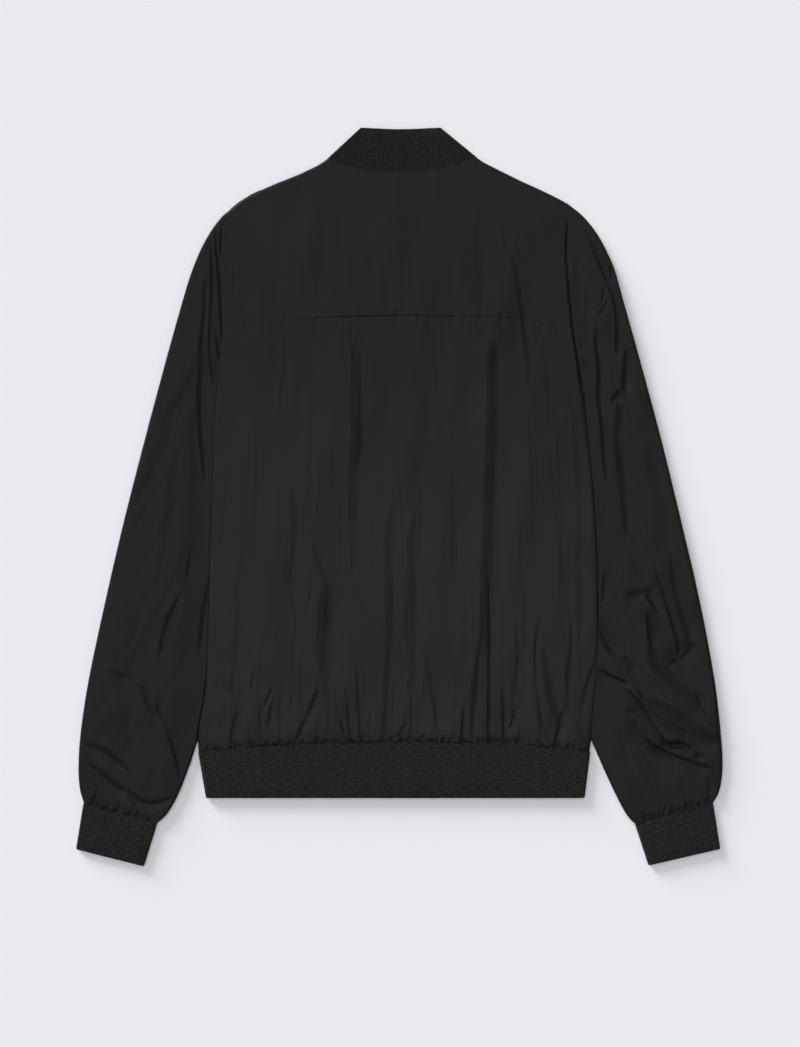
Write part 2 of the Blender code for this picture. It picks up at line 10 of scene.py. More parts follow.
import bmesh
import bpy
import numpy as np
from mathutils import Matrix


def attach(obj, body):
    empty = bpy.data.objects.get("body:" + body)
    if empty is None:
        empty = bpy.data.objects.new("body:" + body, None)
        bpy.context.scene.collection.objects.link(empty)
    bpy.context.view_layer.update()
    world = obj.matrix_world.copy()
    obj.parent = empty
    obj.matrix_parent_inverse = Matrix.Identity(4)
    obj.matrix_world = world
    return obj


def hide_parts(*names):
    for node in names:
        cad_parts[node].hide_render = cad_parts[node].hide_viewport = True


bl_info = {
    "name": "Bomber Jacket, Laid Flat",
    "version": (1, 0, 0),
    "blender": (4, 5, 0),
    "location": "View3D > Sidebar > Jacket",
    "description": "Builds the cloth, ribs and zip of a bomber jacket on its packed frame",
    "category": "Add Mesh",
}

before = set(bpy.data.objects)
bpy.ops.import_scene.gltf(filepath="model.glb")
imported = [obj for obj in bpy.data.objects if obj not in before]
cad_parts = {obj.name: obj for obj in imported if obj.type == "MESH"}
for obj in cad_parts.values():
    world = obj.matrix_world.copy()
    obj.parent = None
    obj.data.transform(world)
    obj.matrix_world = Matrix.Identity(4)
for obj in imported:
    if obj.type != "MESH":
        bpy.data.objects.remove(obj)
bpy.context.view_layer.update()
MM = 0.001
LIGHT_FROM = (-0.64, 0.77)   # the side that the light comes from, seen from above
CUT_MAP = "cut"          # each corner's place on the flat cut of its piece, in metres

# Outline of the pieces, in millimetres

OPENING = 5.6            # from the centre line to the edge of a front
NECK_FRONT_UP = 277.0
NECK_BACK_UP = 352.0
HEM_UP = -322.6
HEM_LEFT = -206.6
HEM_RIGHT = 197.8
COLLAR_HEIGHT = 46.0
EDGE_SHARE = 0.72        # share of a sleeve's upper columns that lie outside the body's edge
CROWDING = 1.6           # how much a sleeve's rows crowd together under the arm
SIDE_SHARE = 9 / 13      # share of a panel's side that lies below the underarm
NECK_SHARES = (7 / 24, 17 / 24)   # shares of the yoke's top edge where the collar ends
FRONT_NECK = 14 / 18     # share of a front's inner edge where its neckline begins
FRONT_ARM = 9 / 18       # share of a front's outer edge where the armhole begins
PANEL_GAP = 0.04         # between panels at a seam

# Side: sign of x; lines of points (out, up), edge being the body's and inner and outer the sleeve's;
# gap between body and sleeve as (below, above, and the heights of the change); how unevenly the sleeve
# is filled; groove of the armhole as (depth below, depth above, height at which it is fully there)
Side = namedtuple("Side", "sign shoulder armhole_yoke armhole_low edge outer inner cuff gap uneven groove")

LEFT = Side(
    sign=-1,
    shoulder=((77, 362.3), (87, 355.6), (107, 346), (139, 333), (166, 320), (190, 301)),
    armhole_yoke=((190, 301), (191, 258), (189.5, 182)),
    armhole_low=((189.5, 182), (190, 160), (192, 138), (196, 112), (199, 48)),
    edge=((199, 48), (203, -68), (205.6, -175), (206.8, -200), (208.8, -218), (211.8, -233),
          (216.0, -256), (215.0, -273)),
    outer=((190, 301), (200, 288), (211, 269), (222, 243), (232, 211), (250, 147), (273, 61),
           (295, -25), (315, -111), (333, -196), (342, -256), (344, -295), (342, -316), (338, -329)),
    inner=((199, 48), (199.4, 22), (196.5, -4), (189, -32), (178, -62), (169, -95), (165, -125),
           (172, -160), (192, -205), (203, -232), (212, -252), (218.3, -265.5), (223.2, -281),
           (229.3, -298), (235.7, -314.3), (243.6, -330.4), (251.5, -342), (261.3, -350.8)),
    cuff=((345.8, -378), (275.2, -395.8)),
    gap=(1.6, 0.45, -205.0, -190.0),
    uneven=0.4,
    groove=(0.6, 0.6, 268.0),
)
RIGHT = Side(
    sign=1,
    shoulder=((82.5, 364), (90, 358.8), (107, 350.2), (128.5, 339.6), (143, 333), (170, 320), (181, 314)),
    armhole_yoke=((181, 314), (179, 258), (182, 222), (186, 180)),
    armhole_low=((186, 180), (192, 142), (198, 98), (203, 45)),
    edge=((203, 45), (208, -6), (211, -61), (212, -114), (211.8, -167), (210.4, -184), (208.4, -212),
          (206.2, -236), (205.4, -258), (203.8, -274)),
    outer=((181, 314), (197, 301), (212, 282), (223, 262), (231, 243), (240, 211), (258, 147), (281, 61),
           (302, -25), (322, -111), (338, -196), (345, -256), (346.6, -291), (343, -316), (336, -329)),
    inner=((203, 45), (203.8, 20), (201, -5), (193, -32), (182, -62), (172, -95), (168, -125),
           (174, -160), (192, -205), (200, -238), (205.9, -259), (211.2, -271.4), (218, -287.5),
           (225.3, -303.6), (233, -319.7), (241.3, -335.8), (248, -345.5), (254.3, -351)),
    cuff=((343.6, -377.6), (268.6, -394.9)),
    gap=(0.8, 1.6, -178.0, -140.0),
    uneven=0.55,
    groove=(6.5, 4.2, 284.0),
)
SIDES = (("left", LEFT), ("right", RIGHT))
YOKE_SEAM = ((-189.5, 182), (-154, 186), (-119, 190), (-73, 193), (1, 195), (63, 194), (108, 193),
             (134, 191), (162, 185), (186, 180))
WAIST_LINE = ((-215.0, -273), (-192, -271), (-106, -265), (1, -263), (108, -264), (183, -271),
              (203.8, -274))
WAIST_WAVES = ((0.60, 5.9, 0.0), (0.45, 10.6, 1.3), (0.35, 17.0, 0.4))   # height, length, start
NECK_SEAM = ((-77, 362.3), (-48.6, 352.8), (-29.7, 350), (3, 348), (44, 351), (58.3, 355.4), (82.5, 364))
COLLAR_EDGE = ((-41, 395.6), (1, 394), (44, 395.6))
NECK_FRONT = ((OPENING, NECK_FRONT_UP), (32, 285), (58, 313), (72, 335))
COLLAR_FRONT = ((OPENING, NECK_FRONT_UP + COLLAR_HEIGHT), (27, 342), (38, 368))

# Heights of the layers' middles above the surface

SLEEVE_UNDER = 2.2       # upper layer of a sleeve where the body lies on it
SLEEVE_FULL = 7.0        # upper layer of a sleeve at its fullest
BESIDE_BODY = 5.2        # and just outside the body's edge
UNDER_BODY = (148.0, 96.0)   # heights between which a sleeve goes under the body
SLEEVE_CUT = 130.0       # width of one layer of a sleeve on the flat cut
SLEEVE_LEAN = 0.45       # how much the ripples follow the sleeve outwards
BODY_OVER_SLEEVE = 3.2   # how far a front is lifted by the sleeve beneath it
SLEEVE_RAMP = (-48.0, -8.0)   # from the sleeve's inner edge: where that lift begins and is full
HEM_RAMP = (-272.0, -237.0)   # heights between which it comes up from the hem
BACK_LEVEL = 6.0         # back panels away from the sides
BACK_SWELL = (0.25, 0.70)   # unevenness of the back, at its borders and inside
BACK_CROWN = 0.9         # rise of its inside over its borders
BORDER = 60.0            # width of its borders
BACK_REACH = 26.0        # how far it takes to come down to the waistband and the collar
WAIST_ROLL = 0.5         # height of the soft roll above the waistband
ARMHOLE_TOP = 300.0      # height at which the armhole's groove begins
RECESS = 0.34            # of the cloth under a row of stitches
LAYER_GAP = 0.25         # between two layers that are pressed together
ROLL_RADIUS = 5.5        # plan radius of the rolled side fold
SHOULDER_RADIUS = 2.0    # and of the fold along the shoulder
DEEPEST = 1.8            # of the troughs
FRONT_FOLDS = 1.2        # highest fold of a front, which lies under the back
UNDERARM = (150.0, 95.0)   # heights between which a side comes to lie on the sleeve
SPREAD = 16.0            # how far a step in the cloth takes to level out again
RIB_LOW = 1.2            # lower layer of the ribs
WAIST_HIGH = 5.6         # upper layer of the waistband
COLLAR_HIGH = 5.0        # upper layer of the collar
RIB_WAVES = 0.22         # unevenness of the ribs
CUFF_HIGH = 4.6          # upper layer of a cuff
CUFF_ROLL = 0.4          # height of the soft roll above a cuff
SLIDER_UP = 262.0        # place of the slider, which holds the yoke up a little
SLIDER_RISE = 2.2        # how far the yoke is held up over it
SLIDER_REACH = 95.0      # how far out that shows
ZIP_LIFT = 2.4           # how far the slider holds the fronts up
TAPE_LEVEL = 1.7         # zip tape away from the slider
TAPE_AT_SLIDER = 4.6     # and where it runs into the slider

# Creases. Each is a slope, a lean and a path of (x, y, width): a band of the cloth that tilts by the
# slope, away from the light. Lean 0 is a trough that such a wall leads into and that comes up again
# more gently, lean 1 a step, and between them a mixture. A negative slope makes ridges.

CREASE_STEP = 7.0        # between the points at which a path is sampled
CREASE_END = 12.0        # over which a crease dies out at either end
CREASE_UNEVEN = 0.12     # share by which its depth varies along it
CREASE_LIP = 0.10        # height of the lip before its wall, to half its width and slope
BACK_CREASES = (
    # Over the yoke
    (0.22, 0.6, (107, 297, 1.5), (112, 276, 3), (123, 249, 3.5), (129, 213, 4), (132, 195, 5),
     (135, 169, 5.5), (138, 140, 5), (138, 116, 2)),
    (0.16, 0.5, (106, 200, 2), (108, 190, 3), (109.5, 164, 2)),
    (0.03, 0.6, (-112, 330, 14), (-106, 260, 24), (-98, 202, 20)),
    (0.03, 0.8, (60, 330, 14), (70, 262, 26), (86, 205, 18)),
    (0.02, 0.5, (-38, 320, 12), (-38, 262, 20), (-46, 202, 14)),
    (0.22, 0.0, (-184.4, 252, 1.5), (-185, 240, 2), (-185, 226, 1.5)),
    (0.2, 0.0, (-177.3, 256, 2), (-177.3, 235, 2.5), (-177.3, 211, 2)),
    # Long folds of the back, from left to right
    (0.16, 0.6, (-123, 186, 2), (-123, 158, 5), (-123, 133, 5), (-127.5, 112, 4.5), (-127.5, 76, 3)),
    (0.23, 0.7, (-118, 12, 3), (-113, -20, 8), (-113.5, -48, 4.5), (-117, -92, 3.5), (-112, -125, 4),
     (-111, -154, 2)),
    (0.24, 1.0, (-94, -44, 2), (-87, -73, 6), (-79, -91, 9), (-79, -114, 17), (-80, -153, 18),
     (-80.5, -185, 13), (-79.5, -206, 7), (-77, -224, 4), (-76.5, -254, 2)),
    (0.3, 0.3, (-95, -78, 1.5), (-96, -105, 3), (-103, -133, 1.5)),
    (0.35, 0.3, (-53, 192, 1.5), (-52, 166, 2.5), (-47, 146, 3)),
    (0.18, 1.0, (-47, 172, 3), (-46.5, 150, 10), (-46.5, 113, 11.5), (-46, 90, 11), (-45.5, 60, 12),
     (-49, 31, 12), (-50, 0, 12), (-50, -40, 9), (-50.5, -88, 2)),
    (0.12, 0.8, (-42.5, 122, 1.5), (-42, 100, 5), (-42, 60, 5), (-44, 34, 1.5)),
    (0.22, 0.9, (-8, -4, 2), (-11.5, -38, 8), (-11.5, -68, 10), (-11.5, -100, 9), (-12, -153, 6.5),
     (-14, -206, 7), (-17, -235, 4), (-21, -285, 2)),
    (0.22, 0.4, (22, 12, 1.2), (23, -33, 2.5), (19, -80, 1.5)),
    (0.24, 1.0, (18, -10, 2), (12, -46, 8), (12.5, -90, 10), (12.5, -150, 11), (13, -175, 9),
     (14, -200, 5), (12, -230, 3), (9, -285, 3)),
    (0.235, 1.0, (100, 172, 3), (99.7, 155, 10.5), (99, 93, 12.5), (97, 22, 12.5), (95.5, -31, 13),
     (94, -82, 14), (93.5, -117, 14), (92, -153, 14), (93, -178, 7), (95, -204, 2)),
    (1.15, 0.2, (95.8, -85, 1.2), (95.8, -150, 2.2), (95.5, -200, 2.6), (95, -290, 2.6)),
    (0.32, 0.5, (87, -146, 1.5), (84, -178, 6), (80.5, -206, 8), (78, -235, 4), (77, -290, 3)),
    # Above the waistband, from left to right
    (0.74, 0.0, (-209, -238, 1.5), (-205, -246, 2.4), (-201, -254, 1.5)),
    (0.5, 0.0, (-206.5, -174, 1.5), (-202, -184, 2.8), (-198, -194, 2)),
    (0.38, 0.0, (-201, -189, 3), (-187.3, -204, 6.5), (-181.8, -210, 5.5), (-172, -222, 3)),
    (0.46, 0.0, (-185.5, -190, 2), (-177.4, -205.4, 4.5), (-168.5, -220, 4)),
    (0.46, 0.3, (-171.5, -225, 2), (-178.5, -245, 4.5), (-180.2, -256, 3.5), (-182, -290, 3)),
    (0.25, 0.2, (-155.5, -140, 2), (-155.5, -152, 2.5), (-155, -166, 2)),
    (0.48, 0.3, (-157, -185, 2), (-158, -196, 3.5), (-158.3, -210, 2.5)),
    (0.48, 0.3, (-152.8, -190, 2), (-152.8, -200, 3), (-152.8, -211, 2.5)),
    (0.23, 0.4, (-149, -223, 2), (-150, -241, 4.5), (-147, -260, 2.5)),
    (0.92, 0.0, (-136, -201, 1.2), (-142.4, -218.5, 2.6), (-149.5, -228, 1.5)),
    (0.44, 0.3, (-135, -212, 2), (-138.6, -230, 4), (-141.5, -250, 2.5)),
    (0.25, 0.2, (-132, -142, 1.5), (-128, -163, 2.6), (-123.8, -170, 2.6), (-117, -180, 2.6),
     (-107, -192, 1.5)),
    (0.5, 0.2, (-86.5, -201, 2), (-94, -223, 5), (-101, -238, 5), (-105, -247, 3.5), (-118, -276, 2)),
    (0.82, 0.0, (-100, -250, 1.5), (-91, -259, 2.4), (-83, -271, 2)),
    (0.46, 0.3, (-71, -218, 1.5), (-64.7, -237, 4.5), (-56, -262, 3), (-50, -282, 2)),
    (0.48, 0.3, (-58.5, -200, 1.5), (-55, -235, 3.4), (-53, -262, 3.4), (-53, -290, 3)),
    (0.44, 0.3, (-46, -182, 1.5), (-44.5, -215, 4), (-42.5, -245, 4.5), (-41, -290, 3)),
    (0.17, 0.5, (-29, -219, 2), (-32, -238, 3.5), (-36, -260, 2.5)),
    (0.92, 0.0, (6, -242, 1.2), (2, -250, 2.4), (-3, -259, 1.5)),
    (0.35, 0.4, (26, -158, 1.5), (31, -185, 5), (35.7, -215, 5), (42, -247, 3.4), (49, -268, 2)),
    (0.69, 0.2, (69, -223, 1.5), (67.5, -245, 3.2), (66, -290, 3)),
    (0.57, 0.3, (109.5, -200, 1.5), (111.5, -235, 4.2), (112, -290, 3)),
    (0.92, 0.0, (124.5, -226, 1.2), (120.5, -240, 2.8), (116.5, -254, 1.5)),
    (0.74, 0.0, (128.5, -240, 1.5), (128.5, -255, 2.8), (128.5, -285, 2.5)),
    (0.22, 0.5, (124.6, -140, 1.5), (127.3, -171, 5), (123.7, -202, 2)),
    (0.57, 0.2, (154.5, -124, 1.2), (146, -153, 2.6), (147, -206, 3.2), (150.4, -233, 2.8),
     (160, -260, 2.8), (168, -282, 2)),
    (0.3, 0.6, (152.5, -156, 2), (158.4, -188, 10), (160.5, -206, 12), (166, -229, 7), (174, -252, 3)),
    (0.69, 0.0, (176.5, -224, 2), (171, -245, 4.5), (166, -270, 4.5), (164, -290, 3)),
    (0.3, 0.5, (184.5, -124, 2), (183, -169, 4.5), (180, -191, 5.5), (181, -233, 2)),
    (0.57, 0.3, (213, -170, 2), (205.5, -189, 4), (199, -210, 4), (194.5, -230, 2)),
    (0.87, 0.0, (188, -239, 1.5), (196, -256, 2.8), (206, -272, 2.6)),
    (0.14, 0.6, (190, -50, 4), (194, -110, 8), (192, -168, 4)),
    (0.12, 0.4, (170, 66, 1.5), (170, 46, 2.5), (170, 28, 1.5)),
)

SLEEVE_CREASES_LEFT = (
    # From the shoulder down
    (0.8, 0.2, (-189, 299, 1.5), (-190.6, 277.3, 5), (-193.2, 254, 1.5)),
    (1.26, 0.0, (-197.8, 289, 1.2), (-196.3, 259.5, 2.4), (-193.8, 234.6, 2.8), (-192.4, 208, 2.6),
     (-191.4, 190, 2.6), (-190.5, 168, 1.2)),
    (0.92, 0.0, (-203.5, 279, 1.2), (-201.6, 250.6, 2.4), (-202, 211.5, 2.6), (-203.4, 183, 2.4),
     (-204, 158, 2.4), (-201.3, 131.5, 2.4), (-196, 112, 1.5)),
    (1.38, 0.0, (-197.6, 175, 1.2), (-194.6, 158, 3.4), (-193, 142, 2)),
    (0.18, 0.5, (-199, 182, 2), (-199, 150, 7), (-197, 120, 2)),
    (0.43, 0.5, (-205.5, 239, 1.5), (-209.3, 229, 3), (-209.3, 208, 4), (-211, 184.9, 4), (-212.8, 167, 5),
     (-213.7, 140.4, 6), (-214.6, 113.7, 6.5), (-214.6, 87, 6), (-212.8, 60.4, 5.5), (-211, 39.4, 4),
     (-209, 14, 2)),
    (0.12, 0.8, (-219, 158, 3), (-222.5, 120, 8), (-222.5, 70, 9), (-219, 10, 4)),
    (0.1, 0.6, (-236, 60, 3), (-246, 0, 12), (-256, -60, 10), (-262, -110, 4)),
    # Elbow and below
    (0.35, 0.2, (-223.5, -52, 2), (-226.5, -76, 3.6), (-229.5, -94, 2)),
    (0.57, 0.3, (-233, -98, 1.5), (-242.8, -119, 3.4), (-248, -130, 5.5), (-251.7, -142.5, 5.5),
     (-255.3, -156.7, 5.5), (-258.5, -176, 2)),
    (0.36, 0.4, (-201.5, -70, 1.5), (-207.3, -107, 4), (-210.8, -126.5, 6), (-212.6, -144, 6),
     (-216, -172, 2)),
    (0.75, 0.0, (-279, -198, 1.5), (-271.3, -219, 4.5), (-259.5, -240, 1.5)),
    (1.09, 0.2, (-261.5, -212, 1.2), (-257, -233, 2.4), (-248, -252.7, 2.8), (-241, -275.8, 3),
     (-234.5, -306, 2.6)),
    (-0.35, 0.2, (-320, -176, 3), (-303, -183, 5), (-290.8, -187, 6), (-278, -197.6, 5), (-263, -208, 2)),
    (0.1, 0.8, (-306, -96, 4), (-313, -132, 12), (-303, -168, 10), (-296, -176, 4)),
    (0.13, 0.8, (-306, -186, 4), (-298, -220, 12), (-292, -246, 10), (-282, -268, 3)),
    (0.3, 0.0, (-341, -262, 6), (-317.5, -273, 11), (-303.3, -284.7, 10), (-284, -299, 3)),
    (0.36, 0.0, (-337, -283, 5), (-317.5, -300.7, 10), (-303.3, -311.4, 10), (-288, -320, 6)),
    (0.92, 0.0, (-296, -310, 3), (-282, -323.8, 7), (-269.5, -328.3, 6), (-257, -326.5, 4),
     (-240, -321, 2)),
    (-0.08, 1.0, (-308, -84, 6), (-315, -128, 18), (-321, -176, 26), (-327, -222, 24), (-334, -254, 10)),
    (-0.05, 0.9, (-296, -186, 8), (-302, -214, 22), (-312, -240, 14)),
)

SLEEVE_CREASES_RIGHT = (
    # From the shoulder down
    (1.38, 0.0, (197.5, 293, 1.2), (208.7, 264.9, 2.8), (220, 238, 3.2), (228, 218.6, 2.8),
     (231.8, 197.3, 2.8), (233, 179.5, 3.4), (232.7, 161.7, 4), (235, 147, 1.5)),
    (0.92, 0.0, (225.6, 251, 1.5), (226.5, 241, 3.5), (228, 230, 1.5)),
    (0.92, 0.0, (218.8, 228, 1.2), (217.5, 217, 2.2), (216.5, 205, 1.2)),
    (0.92, 0.0, (224.5, 214, 1.2), (217.6, 200.8, 2), (209.5, 192, 1.2)),
    (0.25, 0.2, (200.7, 232, 2), (200.7, 206, 3.6), (200.7, 181, 2)),
    (0.14, 0.4, (187, 262, 3), (190.5, 238, 9), (193, 212, 3)),
    (0.92, 0.0, (190.5, 172.5, 1.5), (196.2, 164, 2), (190.5, 156, 1.2)),
    (0.58, 0.4, (210.5, 184, 1.5), (210.5, 163.5, 4.5), (213, 147.5, 5.5), (214, 126, 6.5),
     (213, 108, 5.5), (215.8, 87, 5.5), (217.6, 65.7, 5), (219.4, 39.4, 4.5), (223, 12, 2)),
    (0.69, 0.3, (241.5, 162, 2), (242, 145, 5.5), (241.5, 131.5, 6), (240, 121, 7), (242.8, 103, 2)),
    (1.15, 0.0, (225.5, 100.5, 2), (231, 108, 5), (237, 116, 2)),
    (0.3, 0.5, (233.6, 106, 3), (235.4, 87, 9), (232.7, 64, 7.5), (236.2, 39.4, 10), (240, 0, 9),
     (243, -44, 3)),
    (0.05, 0.8, (258, 96, 3), (268, 40, 12), (278, -20, 12), (284, -60, 4)),
    # Elbow and below
    (0.52, 0.2, (220, -76, 2), (219, -96, 3.6), (217, -116, 2)),
    (0.22, 0.5, (236, -108, 3), (248, -105, 9), (256, -101.5, 10), (262, -102, 7), (268, -107, 3)),
    (1.3, 0.4, (259, -101, 2), (266, -107, 5.5), (272.5, -115, 5.5), (279.5, -126, 2)),
    (1.6, 0.2, (270.5, -66, 1), (277.3, -87, 1.8), (282.6, -103, 2.4), (288, -121, 3), (293.3, -139, 2.6),
     (297.7, -155, 2.6), (300.5, -175, 2)),
    (0.3, 0.6, (289.5, -60, 2), (294, -94.5, 6.5), (300, -117.6, 8), (305.5, -135.4, 9), (310, -149.6, 9),
     (314, -162, 3)),
    (1.15, 0.0, (298.5, -175, 2), (305.7, -169, 6), (311, -162, 8), (317.5, -153, 2.5)),
    (0.63, 0.0, (286, -181, 2), (292, -178, 3.4), (300, -173, 2)),
    (0.56, 0.6, (211, -126, 2), (216, -146, 6), (223, -159, 9), (230, -168, 12), (237, -173, 9),
     (246, -177, 5), (256, -184, 2)),
    (2.0, 0.1, (236, -171.5, 2), (243, -173.5, 3.6), (250, -179, 3.4), (257.5, -187, 1.5)),
    (2.0, 0.3, (210, -182, 1.8), (224, -190.5, 3.2), (236.4, -196.7, 2.8), (249, -201, 1.6)),
    (1.6, 0.3, (245, -198, 1.8), (256, -206.5, 2.4), (263.5, -222, 1.6)),
    (2.4, 0.3, (239.5, -203, 1.4), (250.6, -213.6, 2.8), (259.5, -226, 3.4), (270.2, -243, 3.6),
     (280.9, -258, 4.5), (288, -265, 6), (300.4, -264, 4.2), (319, -273, 1.5)),
    (1.5, 0.3, (253.5, -237, 2), (258, -254, 4.5), (270, -266, 6), (286, -273.5, 6.5), (300, -280, 4.2),
     (316.4, -284.7, 2.6), (327, -289, 3.4), (338, -291.5, 2)),
    (0.9, 0.2, (264.5, -122, 1.5), (266.6, -138, 4), (269, -152, 4.5), (272, -166, 2)),
    (0.38, 0.85, (266, -132, 3), (269, -156.7, 8), (272, -174.5, 13), (278, -184, 15), (288, -192.3, 14),
     (302.2, -204.7, 13), (312.9, -215.4, 11), (324, -231, 4)),
    (0.28, 0.85, (264, -212, 3), (284, -226, 11), (300, -238, 18), (320, -252, 18), (346, -266, 12)),
    (1.0, 0.0, (270.5, -224, 1.5), (282.6, -240, 3), (302, -251, 3), (316, -258, 1.5)),
    (0.66, 0.2, (317, -204, 2), (323.5, -222, 7), (333, -238, 3)),
    (0.69, 0.0, (317, -274, 2), (322, -277, 6), (328, -280, 2)),
    (0.24, 0.0, (240, -229, 2), (249, -229, 5), (260, -230, 2)),
    (0.24, 0.0, (231, -250, 2), (242, -258, 5), (254, -268, 2)),
    (0.52, 0.0, (330, -295, 2), (331.5, -312, 3.6), (333, -330, 2)),
    (-0.05, 1.0, (236, -270, 6), (246, -290, 16), (262, -318, 16), (274, -338, 10)),
)

FRONT_CREASES = (
    (-0.22, 0.0, (-88, 150, 3), (-92, 20, 10), (-84, -120, 14), (-90, -250, 8)),
    (-0.2, 0.0, (-48, 60, 3), (-42, -80, 10), (-50, -200, 3)),
    (-0.3, 0.0, (-130, -120, 2), (-126, -200, 7), (-134, -282, 6)),
    (-0.16, 0.0, (-150, 250, 3), (-140, 160, 12), (-150, 70, 3)),
    (-0.22, 0.0, (72, 170, 3), (66, 30, 12), (74, -110, 14), (70, -282, 6)),
    (-0.22, 0.0, (112, 20, 2), (118, -120, 9), (110, -262, 4)),
    (-0.26, 0.0, (36, -120, 2), (42, -200, 7), (36, -282, 5)),
    (-0.16, 0.0, (142, 262, 3), (130, 170, 12), (138, 90, 3)),
    (-0.28, 0.0, (150, -160, 2), (146, -222, 7), (154, -282, 5)),
)

# Fine detail

STITCH_OUT = 2.4         # from a front's edge to its row of stitches
STITCH_LENGTH = 2.6
STITCH_PITCH = 3.2
THREAD_RADIUS = 0.16
TAPE_INNER = 3.3         # from the centre line to the edge of a tape among the teeth
TAPE_OUTER = 14.0
TAPE = 0.6               # thickness of a tape
TOOTH = (3.9, 0.95, 1.9)   # a tooth's reach across, its width along and its height
TOOTH_ROOT = 3.0         # from the centre line to the end of a tooth that is on the tape
PIVOT_HEIGHT = 2.0       # axis of the zip's pull
EYE_UP = -25.8           # middle of the hole in the pull, from the pivot
EYE_RADIUS = 1.1


# Numbers and curves, on arrays

def mix(low, high, share):
    return low + (high - low) * share


def blend(start, end, value):
    """Smooth step: 0 at start, 1 at end, whichever of them is larger."""
    share = np.clip((value - start) / (end - start), 0.0, 1.0)
    return share * share * (3.0 - 2.0 * share)


def bell(value):
    return np.exp(-value * value)


def rounding(value):
    """Quarter circle: 0 at 0, 1 from 1 on, steep at the start."""
    short = np.clip(1.0 - value, 0.0, 1.0)
    return np.sqrt(1.0 - short * short)


def larger(first, second, width=0.5):
    """The larger of two heights, with the crossing rounded."""
    share = np.clip(0.5 + 0.5 * (first - second) / width, 0.0, 1.0)
    return mix(second, first, share) + width * share * (1.0 - share) * 0.5


def wavy(line, waves, step=2.0):
    """A line with waves along it that die out at its ends."""
    xs, ys = np.array(line, float).T
    x = np.linspace(xs[0], xs[-1], int((xs[-1] - xs[0]) / step) + 1)
    y = np.interp(x, xs, ys)
    fade = np.minimum(1.0, np.minimum(x - xs[0], xs[-1] - x) / 12.0)
    for height, length, start in waves:
        y = y + fade * height * np.sin(math.tau * x / length + start + 1.5 * np.sin(x / 37.0))
    return tuple(zip(x.tolist(), y.tolist()))


WAIST_SEAM = wavy(WAIST_LINE, WAIST_WAVES)
WAIST_MIDDLE = WAIST_LINE[3][1]


class Curve:
    """A smooth plane curve through points, read at shares of its length from 0 to 1."""

    def __init__(self, points):
        self.points = np.array(points, float)
        steps = np.linalg.norm(np.diff(self.points, axis=0), axis=1)
        self.knots = np.concatenate(([0.0], np.cumsum(steps)))
        last = len(points) - 1
        before = np.maximum(np.arange(last + 1) - 1, 0)
        after = np.minimum(np.arange(last + 1) + 1, last)
        spans = self.knots[after] - self.knots[before]
        self.slopes = (self.points[after] - self.points[before]) / spans[:, None]

    def length(self):
        return self.knots[-1]

    def __call__(self, share):
        place = np.clip(np.asarray(share, float), 0.0, 1.0) * self.knots[-1]
        index = np.clip(np.searchsorted(self.knots, place, side="right") - 1, 0, len(self.knots) - 2)
        span = self.knots[index + 1] - self.knots[index]
        step = (place - self.knots[index]) / span
        square, cube = step ** 2, step ** 3
        return (self.points[index] * (2 * cube - 3 * square + 1)[..., None]
                + self.slopes[index] * ((cube - 2 * square + step) * span)[..., None]
                + self.points[index + 1] * (3 * square - 2 * cube)[..., None]
                + self.slopes[index + 1] * ((cube - square) * span)[..., None])


def joined(first, second, stop):
    """Two curves one after the other, the first of them up to the share stop."""
    def at(share):
        share = np.asarray(share, float)
        later = (share - stop) / (1.0 - stop)
        return np.where((share <= stop)[..., None], first(share / stop), second(later))
    return at


def reverse(curve):
    """The curve from its end to its start."""
    return lambda share: curve(1.0 - np.asarray(share, float))


def placed(points, side):
    """Points (out, up) of one side as (x, y)."""
    return [(side.sign * out, up) for out, up in points]


def side_curve(points, side):
    return Curve(placed(points, side))


def patch(low, high, start, end):
    """A sheet between four curves: low and high run across, start and end run up."""
    def at(across, along):
        corners = [curve(share) for curve in (low, high) for share in (0.0, 1.0)]
        across_share, along_share = across[..., None], along[..., None]
        return (mix(low(across), high(across), along_share) + mix(start(along), end(along), across_share)
                - mix(mix(corners[0], corners[1], across_share), mix(corners[2], corners[3], across_share),
                      along_share))
    return at


def nearest_on(line, x, y):
    """For each (x, y): its distance to a polyline, the same with a sign for the side on which it
    lies, and the share of the polyline's steps that are passed by then."""
    nearest = np.full(np.shape(x), np.inf)
    off, place = np.zeros(nearest.shape), np.zeros(nearest.shape)
    for step, ((ax, ay), (bx, by)) in enumerate(zip(line, line[1:])):
        run, rise = bx - ax, by - ay
        held = np.clip(((x - ax) * run + (y - ay) * rise) / (run * run + rise * rise), 0.0, 1.0)
        distance = np.hypot(x - ax - held * run, y - ay - held * rise)
        closer = distance < nearest
        nearest[closer] = distance[closer]
        off[closer] = (np.sign(run * (y - ay) - rise * (x - ax)) * distance)[closer]
        place[closer] = (step + held[closer]) / (len(line) - 1)
    return nearest, off, place


def distance_to(points, x, y):
    return nearest_on(points, x, y)[0]


def out_at(points, up):
    """How far out a line of points, listed from the top down, stands at each height."""
    outs, ups = np.array(points, float).T
    return np.interp(up, ups[::-1], outs[::-1])


def graded(length, coarse, start, end):
    """Shares of a length in steps of at most coarse. start and end are (first step, reach): there
    the steps grow from that size to the coarse one over the reach."""
    places = [0.0]
    while places[-1] < length:
        place = places[-1]
        grown = min(1.0, (place + 0.5 * start[0]) / start[1])
        left = min(1.0, max(length - place, 0.0) / end[1])
        places.append(place + min(mix(start[0], coarse, grown), mix(end[0], coarse, left)))
    return np.array(places) / places[-1]


# Creases, ripples and gathers

